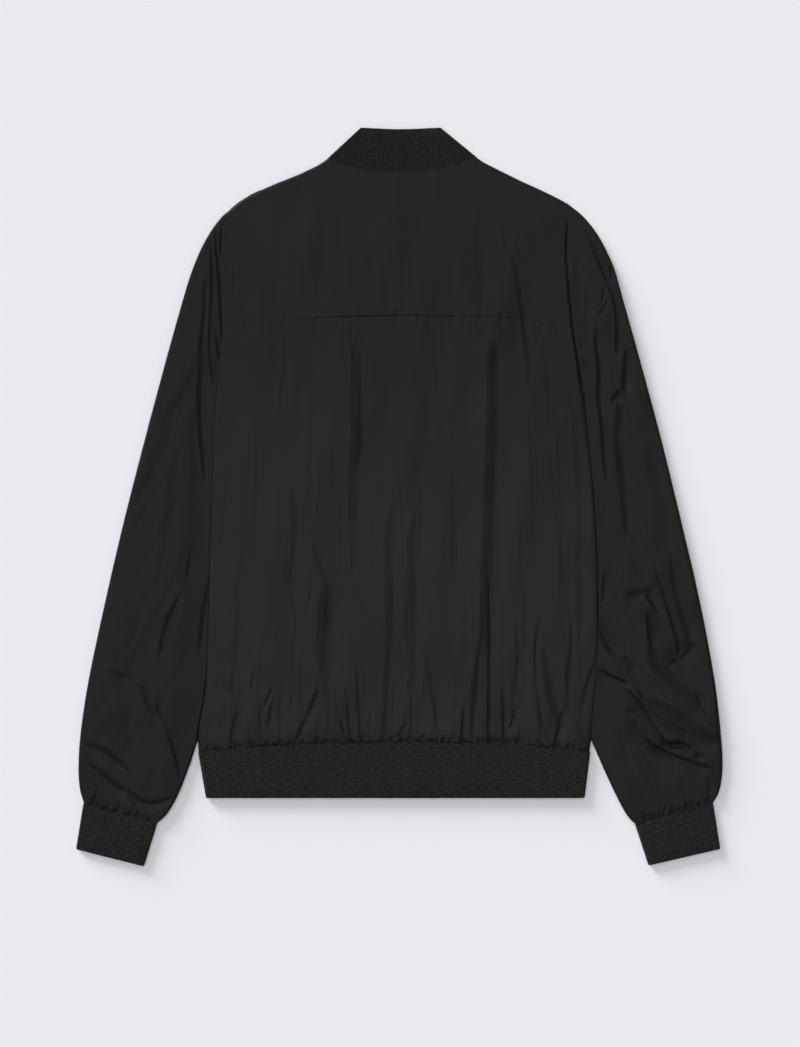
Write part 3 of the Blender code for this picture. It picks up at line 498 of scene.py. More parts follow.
def crease_height(crease, x, y):
    """Height that one crease adds at the points (x, y)."""
    slope, lean, *path = crease
    path = np.array(path, float)
    spine = Curve(path[:, :2])
    length = spine.length()
    count = max(3, int(length / CREASE_STEP))
    line = spine(np.linspace(0.0, 1.0, count + 1))
    reach = path[:, 2].max() * 2.6 + (3.0 * SPREAD if lean else 1.0)
    (left, low), (right, high) = line.min(axis=0) - reach, line.max(axis=0) + reach
    near = (x > left) & (x < right) & (y > low) & (y < high)
    total = np.zeros(np.shape(x))
    if not near.any():
        return total
    _, off, place = nearest_on(line, x[near], y[near])
    half = np.interp(place * length, spine.knots, path[:, 2]) / 2.0
    runs = np.gradient(line, axis=0)
    runs /= np.linalg.norm(runs, axis=1)[:, None]
    facing = runs[:, 0] * LIGHT_FROM[1] - runs[:, 1] * LIGHT_FROM[0]
    turned = -1.0 if facing.mean() > 0 else 1.0
    bias = np.maximum(-turned * np.interp(place * count, np.arange(count + 1), facing), 0.0)
    across = turned * off / half
    bottom, end = 0.8 * bias, 1.0 + 4.0 * bias
    down, back_up = (across + 1.0) / (1.0 + bottom), (end - across) / (end - bottom)
    wall = np.maximum(np.minimum(down, back_up), 0.0)
    trough = (1.0 + bottom) * wall - CREASE_LIP * bell((across + 1.4) / 0.45)
    steep = abs(slope) * half * (1.0 + bottom)
    deepest = mix(1.5, 1.0, bias) * DEEPEST
    trough *= mix(1.0, deepest * np.tanh(steep / deepest) / steep, 1.0 - lean)
    step = (np.sqrt((across + 1.0) ** 2 + 0.08) - np.sqrt((across - 1.0) ** 2 + 0.08)) / 2.0
    step *= np.exp(-np.maximum(np.abs(off) - half, 0.0) / SPREAD)
    fade = min(CREASE_END / length, 0.3)
    ends = blend(0.0, fade, place) * blend(1.0, 1.0 - fade, place)
    uneven = 1.0 + CREASE_UNEVEN * np.sin(place * length / 11.0 + path[0, 0])
    total[near] = -slope * half * mix(trough, step, lean) * ends * uneven
    return total


def crease_field(creases, x, y):
    """Height that several creases add together."""
    return sum((crease_height(crease, x, y) for crease in creases), np.zeros(np.shape(x)))


def ripples(seed, count, left, right, low, high, lengths, widths, slopes, lean=0.0):
    """Faint long creases strewn over a box, each with its own length, width, slope and bend."""
    random = np.random.default_rng(seed)
    found = []
    for number in range(count):
        x = mix(left, right, (number + random.uniform(0.0, 1.0)) / count)
        length = random.uniform(*lengths)
        top = random.uniform(low + 0.6 * length, high)
        bends = random.normal(0.0, 0.012 * length, 3)
        tilt = lean * length * (x / 200.0) + random.normal(0.0, 0.02 * length)
        width = random.uniform(*widths)
        path = ((x + bends[0], top, width * 0.4), (x + tilt * 0.5 + bends[1], top - length * 0.5, width),
                (x + tilt + bends[2], top - length, width * random.uniform(0.3, 0.8)))
        found.append((random.uniform(*slopes), random.uniform(0.2, 1.0), *path))
    return found


def gathers(seed, seam, spacing, reach, slopes, away=(0.0, 1.0), splay=0.3):
    """Short puckers that start at a seam and die out away from it, unevenly spaced."""
    random = np.random.default_rng(seed)
    found = []
    place = random.uniform(*spacing)
    while place < seam.length() - spacing[0]:
        x, y = seam(place / seam.length())
        length = random.uniform(*reach) * random.choice((0.5, 1.0, 1.7))
        lean = random.normal(0.0, splay)
        turned = (away[0] + lean * away[1], away[1] - lean * away[0])
        width = random.uniform(2.0, 3.6)
        path = ((x - 8.0 * away[0], y - 8.0 * away[1], width), (x, y, width),
                (x + 0.5 * length * turned[0], y + 0.5 * length * turned[1], width * 0.8),
                (x + length * turned[0], y + length * turned[1], width * 0.4))
        found.append((random.uniform(*slopes), 0.0, *path))
        place += random.uniform(*spacing)
    return found


def swell(x, y, seed, wave_x, wave_y, count=12):
    """Smooth uneven rise and fall, about -1 to 1."""
    random = np.random.default_rng(seed)
    total = np.zeros(np.shape(x))
    for _ in range(count):
        turns = random.normal(0.0, 1.0, 2) / (wave_x, wave_y)
        total += np.sin(math.tau * (turns[0] * x + turns[1] * y) + random.uniform(0.0, math.tau))
    return total / math.sqrt(count)


def zip_share(out, up):
    """Share by which the slider and its pull hold up what lies on them."""
    return blend(178.0, 226.0, up) * blend(335.0, 288.0, up) * blend(50.0, 15.0, out)


def arm_depth(side, up):
    """Depth of the armhole's groove, in grooves."""
    below, above, full = side.groove
    return mix(below, above, blend(168.0, 182.0, up)) * blend(ARMHOLE_TOP, full, up)


def seam_dips(x, up, waist):
    """Depth of the seams that run across, in grooves. The yoke's is deepest left of the middle."""
    yoke = np.interp(x, *np.array(YOKE_SEAM).T)
    neck = np.interp(x, *np.array(NECK_SEAM).T)
    faint = 0.2 + 0.4 * blend(-140.0, -100.0, x) * blend(160.0, 120.0, x)
    yoke_depth = mix(faint, 1.5, blend(-86.0, -60.0, x) * blend(28.0, 0.0, x))
    waist_depth = np.maximum(0.0, 0.2 + 0.45 * swell(x, 0.0 * x, 32, 9.0, 99.0))
    return (yoke_depth * bell((up - yoke) / 2.2) * (up < yoke) + waist_depth * bell((up - waist) / 1.4)
            + 0.5 * bell((up - neck) / 1.6) * (np.abs(x) < 84.0))


class Lie:
    """How the jacket lies: the height of each layer's middle at arrays of points."""

    def __init__(self, cloth):
        self.cloth = cloth
        self.wall = cloth.wall / MM
        self.groove = cloth.groove / MM
        waist = Curve(WAIST_SEAM)
        yoke = Curve(YOKE_SEAM)
        self.back_gathers = gathers(11, waist, (2.4, 6.6), (3.0, 7.0), (0.6, 1.4))
        self.front_gathers = gathers(12, waist, (4.0, 9.0), (6.0, 14.0), (-0.6, -0.3))
        self.back_gathers += gathers(13, yoke, (9.0, 26.0), (8.0, 20.0), (0.1, 0.25), (0.0, -1.0))
        self.back_ripples = ripples(21, 70, -186, 190, -250, 175, (60, 220), (3.0, 8.0), (0.03, 0.11), 0.05)
        self.back_ripples += ripples(22, 18, -150, 150, 200, 330, (40, 110), (5.0, 12.0), (0.02, 0.06))
        self.back_ripples += ripples(23, 50, -200, 196, -262, -180, (24, 70), (2.5, 5.0), (0.08, 0.22))
        self.front_ripples = ripples(24, 40, -180, 180, -250, 170, (60, 200), (5.0, 12.0), (-0.16, -0.06))

    def folds(self, x, y, creases, faint, puckers):
        """Creases, ripples and gathers, each by the strength that the sidebar gives it."""
        return (self.cloth.crease * crease_field(creases, x, y)
                + self.cloth.ripple * crease_field(faint, x, y)
                + self.cloth.gather * crease_field(puckers, x, y))

    def over_sleeve(self, side, out, up):
        """Share by which the body is lifted by the sleeve under it."""
        over = blend(*SLEEVE_RAMP, out - out_at(side.inner, up))
        return over * blend(*UNDERARM, up) * blend(*HEM_RAMP, up)

    def front(self, side, out, up):
        """A front lies flat on the surface, and its creases rise from it."""
        folds = self.folds(side.sign * out, up, FRONT_CREASES, self.front_ripples, self.front_gathers)
        folds *= blend(OPENING + 8.0, OPENING + 20.0, out)
        over = self.over_sleeve(side, out, up)
        folds = np.clip(folds, 0.0, FRONT_FOLDS) * (1.0 - 0.8 * over)
        recess = RECESS * bell((out - OPENING - STITCH_OUT) / 1.3)
        return self.wall / 2 + BODY_OVER_SLEEVE * over + ZIP_LIFT * zip_share(out, up) + folds + recess

    def back(self, side, out, up, seams=True):
        """The back lies on the fronts along shoulders and sides, and a little above them elsewhere."""
        x = side.sign * out
        to_shoulder = distance_to(side.shoulder, out, up)
        to_border = distance_to(side.armhole_yoke + side.armhole_low[1:] + side.edge[1:], out, up)
        pressed = self.front(side, out, up) + self.wall + LAYER_GAP
        inside = blend(0.0, BORDER, np.minimum(to_border, to_shoulder))
        waist = np.interp(x, *np.array(WAIST_SEAM).T)
        free = BACK_LEVEL + SLIDER_RISE * bell(np.hypot(x, up - SLIDER_UP) / SLIDER_REACH)
        free += mix(*BACK_SWELL, inside) * swell(x, up, 31, 75.0, 230.0) + BACK_CROWN * inside
        free = mix(free, WAIST_HIGH + 0.6, blend(BACK_REACH, 0.0, up - waist))
        free += WAIST_ROLL * bell((up - waist - 10.0) / 9.0)
        to_collar = np.hypot(x / 2.6, up - NECK_BACK_UP)
        free -= (BACK_LEVEL - COLLAR_HIGH) * blend(BACK_REACH, 0.0, to_collar)
        folds = self.folds(x, up, BACK_CREASES, self.back_ripples, self.back_gathers)
        level = larger(pressed, free + folds, 0.5)
        over = blend(*UNDERARM, up)
        level = mix(level, mix(pressed, level, rounding(to_border / ROLL_RADIUS)), over)
        level = mix(pressed, level, rounding(to_shoulder / SHOULDER_RADIUS))
        at_hem_corner = blend(24.0, 0.0, distance_to(side.edge[-2:], out, up))
        level = mix(level, pressed, 0.5 * at_hem_corner)
        if seams:
            level -= self.groove * seam_dips(x, up, waist)
            level -= self.groove * arm_depth(side, up) * (1.0 - over) * bell(to_border / 1.1)
        return np.maximum(level, pressed)


def on_sides(function, x, y):
    """function(side, out, up) for each point on the side that it lies on."""
    return np.where(x < 0, function(LEFT, np.abs(x), y), function(RIGHT, np.abs(x), y))


# Meshes

def add_object(name, data):
    body = bpy.data.objects.new(name, data)
    bpy.context.scene.collection.objects.link(body)
    return body


def as_mesh(bm, name):
    """The bmesh as a new mesh. It frees the bmesh."""
    mesh = bpy.data.meshes.new(name)
    bm.to_mesh(mesh)
    bm.free()
    return mesh


def cloth_piece(name, columns, rows, place, wall, closed=False):
    """A cloth piece on a grid of columns by rows. place(column, row) takes arrays of indices and
    gives the middle of the wall and the place on the flat cut, in millimetres. A closed piece is a
    tube."""
    bm = bmesh.new()
    bmesh.ops.create_grid(bm, x_segments=columns, y_segments=rows, size=1.0)
    mesh = as_mesh(bm, name)
    spots = np.empty(len(mesh.vertices) * 3)
    mesh.vertices.foreach_get("co", spots)
    shares = (spots.reshape(-1, 3)[:, :2] + 1.0) / 2.0
    column, row = np.rint(shares * (columns, rows)).astype(int).T
    points, cut = place(column, row)
    mesh.vertices.foreach_set("co", (points * MM).ravel())
    corners = np.empty(len(mesh.loops), np.int32)
    mesh.loops.foreach_get("vertex_index", corners)
    mesh.uv_layers.new(name=CUT_MAP).uv.foreach_set("vector", (cut[corners] * MM).ravel())
    mesh.shade_smooth()
    ends = np.empty(len(mesh.edges) * 2, np.int32)
    mesh.edges.foreach_get("vertices", ends)
    first, second = ends.reshape(-1, 2).T
    rim = (row[first] == row[second]) & (row[first] % rows == 0)
    if not closed:
        rim |= (column[first] == column[second]) & (column[first] % columns == 0)
    mesh.attributes.new("sharp_edge", "BOOLEAN", "EDGE").data.foreach_set("value", rim)
    body = add_object(name, mesh)
    if closed:
        weld = body.modifiers.new("close", "WELD")
        weld.merge_threshold = 0.02 * MM
    thickness = body.modifiers.new("wall", "SOLIDIFY")
    thickness.thickness = wall * MM
    thickness.offset = 0.0
    return body


def repeated(name, mesh, places, turned=None):
    """One mesh that holds a copy of a small mesh at each place (x, y, z), in millimetres."""
    points = np.empty(len(mesh.vertices) * 3)
    mesh.vertices.foreach_get("co", points)
    points = points.reshape(-1, 3)
    copies = points[None] * np.ones((len(places), 1, 1))
    if turned is not None:
        copies[turned] *= (-1.0, -1.0, 1.0)
    copies = (copies + np.array(places)[:, None]) * MM
    faces = [tuple(face.vertices) for face in mesh.polygons]
    faces = [tuple(corner + copy * len(points) for corner in face)
             for copy in range(len(places)) for face in faces]
    whole = bpy.data.meshes.new(name)
    whole.from_pydata(copies.reshape(-1, 3), [], faces)
    whole.shade_smooth()
    bpy.data.meshes.remove(mesh)
    return add_object(name, whole)


def dress(piece, material):
    piece.data.materials.clear()
    piece.data.materials.append(material)


def declare(piece, node, material):
    """Attaches the piece to its body, hides the part of the imported model that it stands for, and gives it
    its material.
    """
    body = "pull" if node == "zip_pull" else "root"
    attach(piece, body)
    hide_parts(node)
    dress(piece, material)


# Body panels

def panel(name, plan, height, size, across, along, wall):
    """A panel of about the size (across, along). across and along say how its grid is graded."""
    shares = [mix(PANEL_GAP / 2 / length, 1.0 - PANEL_GAP / 2 / length, graded(length, *grading))
              for length, grading in zip(size, (across, along))]

    def place(column, row):
        flat = plan(shares[0][column], shares[1][row])
        level = on_sides(height, flat[:, 0], flat[:, 1])
        return np.column_stack((flat, level)), flat

    return cloth_piece(name, len(shares[0]) - 1, len(shares[1]) - 1, place, wall)


def lower_back_plan():
    borders = [joined(reverse(side_curve(side.edge, side)), reverse(side_curve(side.armhole_low, side)),
                      SIDE_SHARE) for side in (LEFT, RIGHT)]
    return patch(Curve(WAIST_SEAM), Curve(YOKE_SEAM), *borders)


def yoke_plan():
    neck_first, neck_last = NECK_SHARES
    left_shoulder = reverse(side_curve(LEFT.shoulder, LEFT))
    top = joined(left_shoulder, Curve(NECK_SEAM), neck_first / neck_last)
    top = joined(top, side_curve(RIGHT.shoulder, RIGHT), neck_last)
    borders = [reverse(side_curve(side.armhole_yoke, side)) for side in (LEFT, RIGHT)]
    return patch(Curve(YOKE_SEAM), top, *borders)


def front_plan(side):
    waist = sorted((abs(x), y) for x, y in WAIST_SEAM if x * side.sign > OPENING + 1.0)
    centre = ((OPENING, WAIST_MIDDLE), (OPENING, NECK_FRONT_UP))
    neck = NECK_FRONT + side.shoulder[:1]
    middle = joined(side_curve(centre, side), side_curve(neck, side), FRONT_NECK)
    armhole = side_curve(side.armhole_yoke + side.armhole_low[1:], side)
    edge = joined(reverse(side_curve(side.edge, side)), reverse(armhole), FRONT_ARM)
    return patch(side_curve([centre[0]] + waist, side), side_curve(side.shoulder, side), middle, edge)


# Sleeves

def tube_ring():
    """Shares across and layers of the points round a flattened tube, from its outer fold round
    and back to it. They crowd at the folds, and at EDGE_SHARE, where the body's edge crosses it."""
    above = graded(72.0, 0.9, (0.35, 5.0), (0.25, 6.0)) * EDGE_SHARE
    hidden = mix(EDGE_SHARE, 1.0, graded(40.0, 3.0, (0.25, 8.0), (0.5, 5.0)))
    step = np.linspace(1.0, 0.0, 25)
    below = mix(step, 0.5 - 0.5 * np.cos(math.pi * step), 0.6)
    shares = np.concatenate((above, hidden[1:], below[1:]))
    turn = len(above) + len(hidden) - 2
    layers = np.where(np.arange(len(shares)) < turn, 1, -1)
    layers[[0, turn, -1]] = 0
    return shares, layers


def crossing(plan, border, alongs):
    """Where across a sleeve the body's edge crosses each of its rows."""
    samples = np.linspace(0.0, 1.0, 401)
    found = []
    for along in alongs:
        flat = plan(samples, np.full(samples.shape, along))
        outside = flat[:, 0] > out_at(border, flat[:, 1])
        found.append(samples[outside][-1] if outside.any() else 1.0)
    return np.clip(found, 0.3, 0.97)


def sleeve(name, side, lie, creases, seeds):
    """A sleeve: a tube that lies flat, its upper layer creased and its inner fold under the body.
    seeds are those of its puckers, of its ripples and of the ripples on its hidden layer."""
    shares, layers = tube_ring()
    outer, inner_curve = Curve(side.outer), Curve(side.inner)
    armhole = side.armhole_yoke + side.armhole_low[1:]
    border = armhole + side.edge[1:]

    def inner(share):
        return inner_curve(np.asarray(share, float) ** CROWDING)

    plan = patch(Curve(armhole), Curve((side.outer[-1], side.inner[-1])), outer, inner)
    length = outer.length()
    alongs = graded(length, 1.95, (0.6, 6.0), (0.7, 12.0))
    edges = crossing(plan, border, alongs)
    inset = PANEL_GAP / 2 / length
    up_arm = np.array(side.outer[-1], float) - side.cuff[0]
    up_arm *= (side.sign, 1.0) / np.linalg.norm(up_arm)
    cuff_seam = side_curve((side.outer[-1], side.inner[-1]), side)
    puckers = gathers(seeds[0], cuff_seam, (3.5, 8.0), (7.0, 14.0), (0.4, 0.9), tuple(up_arm))
    near, nearer, far = (side.sign * out for out in (216, 200, 318))
    faint = ripples(seeds[1], 34, near, far, -300, 210, (50, 130), (4.0, 9.0), (0.04, 0.12), SLEEVE_LEAN)
    beneath = ripples(seeds[2], 30, nearer, far, -300, 200, (60, 160), (5.0, 12.0), (-0.3, -0.12),
                      SLEEVE_LEAN)

    def upper_layer(out, up, x, along, from_border, under):
        """Height of the layer that shows, from the body's edge out to the outer fold."""
        at_border = lie.back(side, out_at(border, up), np.maximum(up, UNDER_BODY[1]), seams=False)
        level = mix(at_border, SLEEVE_UNDER, under)
        full = SLEEVE_FULL + side.uneven * swell(x, up, seeds[1], 60.0, 130.0)
        gap = mix(*side.gap[:2], blend(*side.gap[2:], up))
        rise = blend(gap - 0.4, gap + 0.2, from_border)
        high = mix(mix(level, np.maximum(level, BESIDE_BODY), rise), full, blend(2.0, 40.0, from_border))
        high += lie.folds(x, up, creases, faint, puckers) * mix(0.2, 1.0, blend(-5.0, 3.0, from_border))
        high -= lie.groove * arm_depth(side, up) * (1.0 - under) * bell(distance_to(armhole, out, up) / 1.1)
        to_end = (1.0 - along) * length
        high += (CUFF_HIGH + 0.6 - full) * blend(70.0, -10.0, to_end)
        high += CUFF_ROLL * bell((to_end - 12.0) / 8.0)
        high = np.maximum(high, lie.wall * 1.6 + 0.2)
        return mix(high, np.minimum(high, SLEEVE_UNDER + 0.3), blend(-2.0, -10.0, from_border) * under)

    def place(column, row):
        across, layer, edge = shares[column], layers[column], edges[row]
        outside = across * edge / EDGE_SHARE
        inside = mix(edge, 1.0, (across - EDGE_SHARE) / (1.0 - EDGE_SHARE))
        across = np.where(layer < 0, across, np.where(across < EDGE_SHARE, outside, inside))
        along = mix(inset, 1.0 - inset, alongs[row])
        out, up = plan(across, along).T
        x = side.sign * out
        high = upper_layer(out, up, x, along, out - out_at(border, up), blend(*UNDER_BODY, up))
        ridges = np.clip(lie.cloth.ripple * crease_field(beneath, x, up), 0.0, 0.8)
        middle = lie.wall / 2 + np.minimum(2.2, (high - lie.wall / 2) / 2)
        low = np.minimum(lie.wall / 2 + ridges, middle)
        from_fold = np.minimum(across, 1.0 - across) * np.linalg.norm(outer(along) - inner(along), axis=1)
        upper = mix(middle, high, rounding(from_fold / np.maximum(0.8 * (high - middle), 1.5)))
        lower = mix(middle, low, rounding(from_fold / 2.6))
        level = np.where(layer > 0, upper, np.where(layer < 0, lower, middle))
        sideways = np.where(layer < 0, 2.0 - across, across) * SLEEVE_CUT
        return np.column_stack((x, up, level)), np.column_stack((sideways, along * length))

    return cloth_piece(name, len(shares) - 1, len(alongs) - 1, place, lie.wall, closed=True)


# Ribs

Strip = namedtuple("Strip", "seam edge level normal length")


def ring_path(width, low, high, distance):
    """Where a distance round a flattened ring lies. 0 is the start of the upper layer at the left
    fold; distances below 0 go back round the left fold and on under the ring."""
    radius = (high - low) / 2
    straight, turn = width - 2 * radius, math.pi * radius
    on = np.mod(distance + turn + straight, 2 * (straight + turn)) - turn - straight
    angle = np.clip((on - straight) / radius, 0.0, math.pi) - np.clip(-on / radius, 0.0, math.pi)
    above = np.clip(on, 0.0, straight)
    below = np.maximum(-on - turn, 0.0) - np.maximum(on - straight - turn, 0.0)
    across = radius * (1.0 + np.sin(angle)) + above + below
    level = (low + high) / 2 + radius * np.cos(angle)
    return across / width, level, np.column_stack((np.sin(angle), np.cos(angle)))


def ribbed(name, strip, cloth, seed, closed=False):
    """A doubled rib band: one layer of knit folded over at its free edge, so two layers lie
    together. The strip gives, for each column, the seam point, the edge point, the level, the
    direction out of the band, and the distance along it."""
    wall = cloth.rib_wall / MM
    half = 0.5 * wall + 0.1
    turns = np.radians(np.linspace(90.0, -90.0, 7))[1:-1]
    layer = np.array((0.0, 0.012, 0.04, 0.12, 0.4, 0.72, 1.0))
    flat = np.ones(len(layer))
    shares = np.concatenate((layer, np.ones(len(turns)), layer[::-1]))
    beyond = np.concatenate((0.0 * flat, half * np.cos(turns), 0.0 * flat))
    offset = np.concatenate((half * flat, half * np.sin(turns), -half * flat))
    depth = np.linalg.norm(strip.edge - strip.seam, axis=1)
    downwards = (strip.edge - strip.seam) / depth[:, None]

    def place(column, row):
        reach = PANEL_GAP + shares[row] * (depth[column] - half - PANEL_GAP) + beyond[row]
        flat = strip.seam[column] + downwards[column] * reach[:, None]
        along = strip.length[column]
        ribs = cloth.rib_relief / MM * np.cos(math.tau * along * MM / cloth.rib_pitch)
        ribs *= np.sign(offset[row] + 1e-9) * blend(0.0, 0.5, np.abs(offset[row]) / half)
        pinched = mix(0.8, 1.0, blend(0.0, 9.0, reach))
        upwards = strip.normal[column][:, 2]
        waves = RIB_WAVES * swell(along, reach, seed, 34.0, 80.0) * upwards * (upwards > 0.5)
        out = offset[row] * pinched + ribs + waves
        points = np.column_stack((flat, strip.level[column])) + strip.normal[column] * out[:, None]
        up = np.where(offset[row] < 0, 2.0 * depth[column] - reach, reach)
        return points, np.column_stack((along, up))

    return cloth_piece(name, len(depth) - 1, len(shares) - 1, place, wall, closed)


def columns_for(length, pitch):
    """Number of columns that gives each rib four."""
    return int(round(length / pitch)) * 4


def waistband_strip(pitch):
    """Round the hem from one front edge to the other."""
    left, right = WAIST_SEAM[0][0], WAIST_SEAM[-1][0]
    width = right - left
    radius = (WAIST_HIGH - RIB_LOW) / 2
    start = -math.pi * radius + left + OPENING + radius
    stop = width + (math.pi - 3) * radius + right - OPENING
    distance = np.linspace(start, stop, columns_for(stop - start, pitch) + 1)
    share, level, normal = ring_path(width, RIB_LOW, WAIST_HIGH, distance)
    x = mix(left, right, share)
    seam = np.column_stack((x, np.interp(x, *np.array(WAIST_SEAM).T)))
    edge = np.column_stack((mix(HEM_LEFT, HEM_RIGHT, share), np.full(len(share), HEM_UP)))
    for end in (0, -1):
        edge[end, 0] = math.copysign(OPENING, edge[end, 0])
    return Strip(seam, edge, level, np.insert(normal, 1, 0.0, axis=1), distance)


def cuff_strip(side, pitch):
    """Round the end of a sleeve, from its outer fold and back to it."""
    start, end = np.array((side.outer[-1], side.inner[-1]), float)
    low_start, low_end = np.array(side.cuff, float)
    width = np.linalg.norm(end - start)
    radius = (CUFF_HIGH - RIB_LOW) / 2
    around = 2 * (width - 2 * radius + math.pi * radius)
    distance = np.linspace(0.0, around, columns_for(around, pitch) + 1)
    share, level, normal = ring_path(width, RIB_LOW, CUFF_HIGH, distance)
    seam, edge = mix(start, end, share[:, None]), mix(low_start, low_end, share[:, None])
    normal = np.column_stack((normal[:, :1] * (end - start) / width, normal[:, 1]))
    for line in (seam, edge, normal):
        line[:, 0] *= side.sign
    return Strip(seam, edge, level, normal, distance)


def collar_strip(pitch):
    """Round the neck from one front edge to the other: a half under the jacket, the back on top,
    the other half. Each part has its own seam and edge curve."""
    radius = (COLLAR_HIGH - RIB_LOW) / 2
    middle = (COLLAR_HIGH + RIB_LOW) / 2
    parts = []
    for side, tip in ((LEFT, COLLAR_EDGE[0]), (RIGHT, COLLAR_EDGE[-1])):
        neck = side_curve(NECK_FRONT + side.shoulder[:1], side)
        length = neck.length()
        share = np.linspace(0.0, 1.0, columns_for(length, pitch) + 1)[:-1]
        seam, edge = neck(share), Curve(placed(COLLAR_FRONT, side) + [tip])(share)
        lift = np.mean([zip_share(np.abs(line[:, 0]), line[:, 1]) for line in (seam, edge)], axis=0)
        near = rounding((1.0 - share) * length / radius)
        level = mix(middle, RIB_LOW + ZIP_LIFT * lift, near)
        normal = np.column_stack((side.sign * np.sqrt(1.0 - near ** 2), 0.0 * near, -near))
        parts.append((seam, edge, level, normal, share * length))
    neck = Curve(NECK_SEAM)
    length = neck.length()
    share = np.linspace(0.0, 1.0, columns_for(length, pitch) + 1)
    near = rounding(np.minimum(share, 1.0 - share) * length / radius)
    outwards = np.where(share < 0.5, -1.0, 1.0) * np.sqrt(1.0 - near ** 2)
    normal = np.column_stack((outwards, 0.0 * near, near))
    back = (neck(share), Curve(COLLAR_EDGE)(share), mix(middle, COLLAR_HIGH, near), normal, share * length)
    left, right = parts[0], [column[::-1] for column in parts[1]]
    right[4] = right[4][0] - right[4] + pitch / 4
    seam, edge, level, normal, length = (list(column) for column in zip(left, back, right))
    for index in (1, 2):
        length[index] = length[index] + length[index - 1][-1] + pitch / 4
    return Strip(*(np.concatenate(column) for column in (seam, edge, level, normal, length)))


# Zip

def tape_level(y):
    """Height of the tapes' middle: on the surface, over the waistband's front and into the slider."""
    rib = (RIB_LOW * 2 - 1.1) * blend(-246.0, -261.0, y)
    return mix(TAPE_LEVEL + rib, TAPE_AT_SLIDER, zip_share(0.0, y))


def zip_tape(name, side):
    columns, rows = 9, 250
    low_end, high_end = HEM_UP + 1.0, NECK_FRONT_UP - 1.0

    def place(column, row):
        out = mix(TAPE_INNER, TAPE_OUTER, column / columns)
        y = mix(low_end, high_end, row / rows)
        level = tape_level(y) + 0.25 * bell((out - TAPE_INNER) / 1.2)
        return np.column_stack((side.sign * out, y, level)), np.column_stack((out, y))

    return cloth_piece(name, columns, rows, place, TAPE)


def rounded_block(size, bevel, segments=1):
    """A block of that size in millimetres, with its edges rounded, as a new mesh."""
    bm = bmesh.new()
    bmesh.ops.create_cube(bm, size=1.0)
    for vertex in bm.verts:
        vertex.co = [value * length for value, length in zip(vertex.co, size)]
    bmesh.ops.bevel(bm, geom=bm.edges[:], offset=bevel, segments=segments, profile=0.5, affect="EDGES")
    return as_mesh(bm, "block")


def zip_teeth(pitch):
    """Closed teeth: those of the two tapes alternate, and each reaches past the middle."""
    low_end, high_end = HEM_UP + 10.0, SLIDER_UP - 6.3
    numbers = np.arange(int((high_end - low_end) / (pitch / 2)))
    turned = numbers % 2 == 1
    x = np.where(turned, 1.0, -1.0) * (TOOTH_ROOT - TOOTH[0] / 2)
    y = low_end + (numbers + 0.5) * pitch / 2
    return repeated("zip_teeth", rounded_block(TOOTH, 0.22), np.column_stack((x, y, tape_level(y))), turned)


def join_parts(name, parts):
    """One mesh from small meshes in millimetres, each with its place."""
    bm = bmesh.new()
    for mesh, place in parts:
        known = len(bm.verts)
        bm.from_mesh(mesh)
        bm.verts.ensure_lookup_table()
        for vertex in bm.verts[known:]:
            vertex.co = [(value + shift) * MM for value, shift in zip(vertex.co, place)]
        bpy.data.meshes.remove(mesh)
    whole = as_mesh(bm, name)
    whole.shade_smooth()
    whole.set_sharp_from_angle(angle=math.radians(35.0))
    return add_object(name, whole)


def plate(outline, thickness, bevel, holes=()):
    """A flat piece with rounded edges from an outline and holes, each a list of (x, y), as a new mesh."""
    flat = bpy.data.curves.new("plate", "CURVE")
    flat.dimensions = "2D"
    flat.fill_mode = "BOTH"
    flat.extrude = thickness / 2 - bevel
    flat.bevel_depth = bevel
    flat.bevel_resolution = 2
    flat.offset = -bevel
    for points in (outline, *holes):
        spline = flat.splines.new("POLY")
        spline.points.add(len(points) - 1)
        spline.points.foreach_set("co", np.array([(x, y, 0.0, 1.0) for x, y in points]).ravel())
        spline.use_cyclic_u = True
    body = add_object("plate", flat)
    mesh = bpy.data.meshes.new_from_object(body.evaluated_get(bpy.context.evaluated_depsgraph_get()))
    bpy.data.objects.remove(body)
    bpy.data.curves.remove(flat)
    bm = bmesh.new()
    bm.from_mesh(mesh)
    bpy.data.meshes.remove(mesh)
    bmesh.ops.remove_doubles(bm, verts=bm.verts, dist=0.01)
    return as_mesh(bm, "plate")


def rounded_outline(width, low, high, radius, steps=6):
    """Corner points of a rounded rectangle, centred across, from low to high along."""
    points = []
    corners = ((width / 2, high, 0), (-width / 2, high, 90), (-width / 2, low, 180), (width / 2, low, 270))
    for x, y, start in corners:
        centre = (x - math.copysign(radius, x), y - radius if y == high else y + radius)
        for step in range(steps + 1):
            angle = math.radians(start + 90.0 * step / steps)
            points.append((centre[0] + radius * math.cos(angle), centre[1] + radius * math.sin(angle)))
    return points


def rod(length, radius, segments, place, cuts=0):
    """A round rod with its ends closed, as a new mesh. place moves the points of the upright rod."""
    bm = bmesh.new()
    bmesh.ops.create_cone(bm, cap_ends=True, segments=segments, radius1=radius, radius2=radius, depth=length)
    if cuts:
        upright = [edge for edge in bm.edges if edge.calc_length() > 0.9 * length]
        bmesh.ops.subdivide_edges(bm, edges=upright, cuts=cuts)
    for vertex in bm.verts:
        vertex.co = place(*vertex.co)
    return as_mesh(bm, "rod")


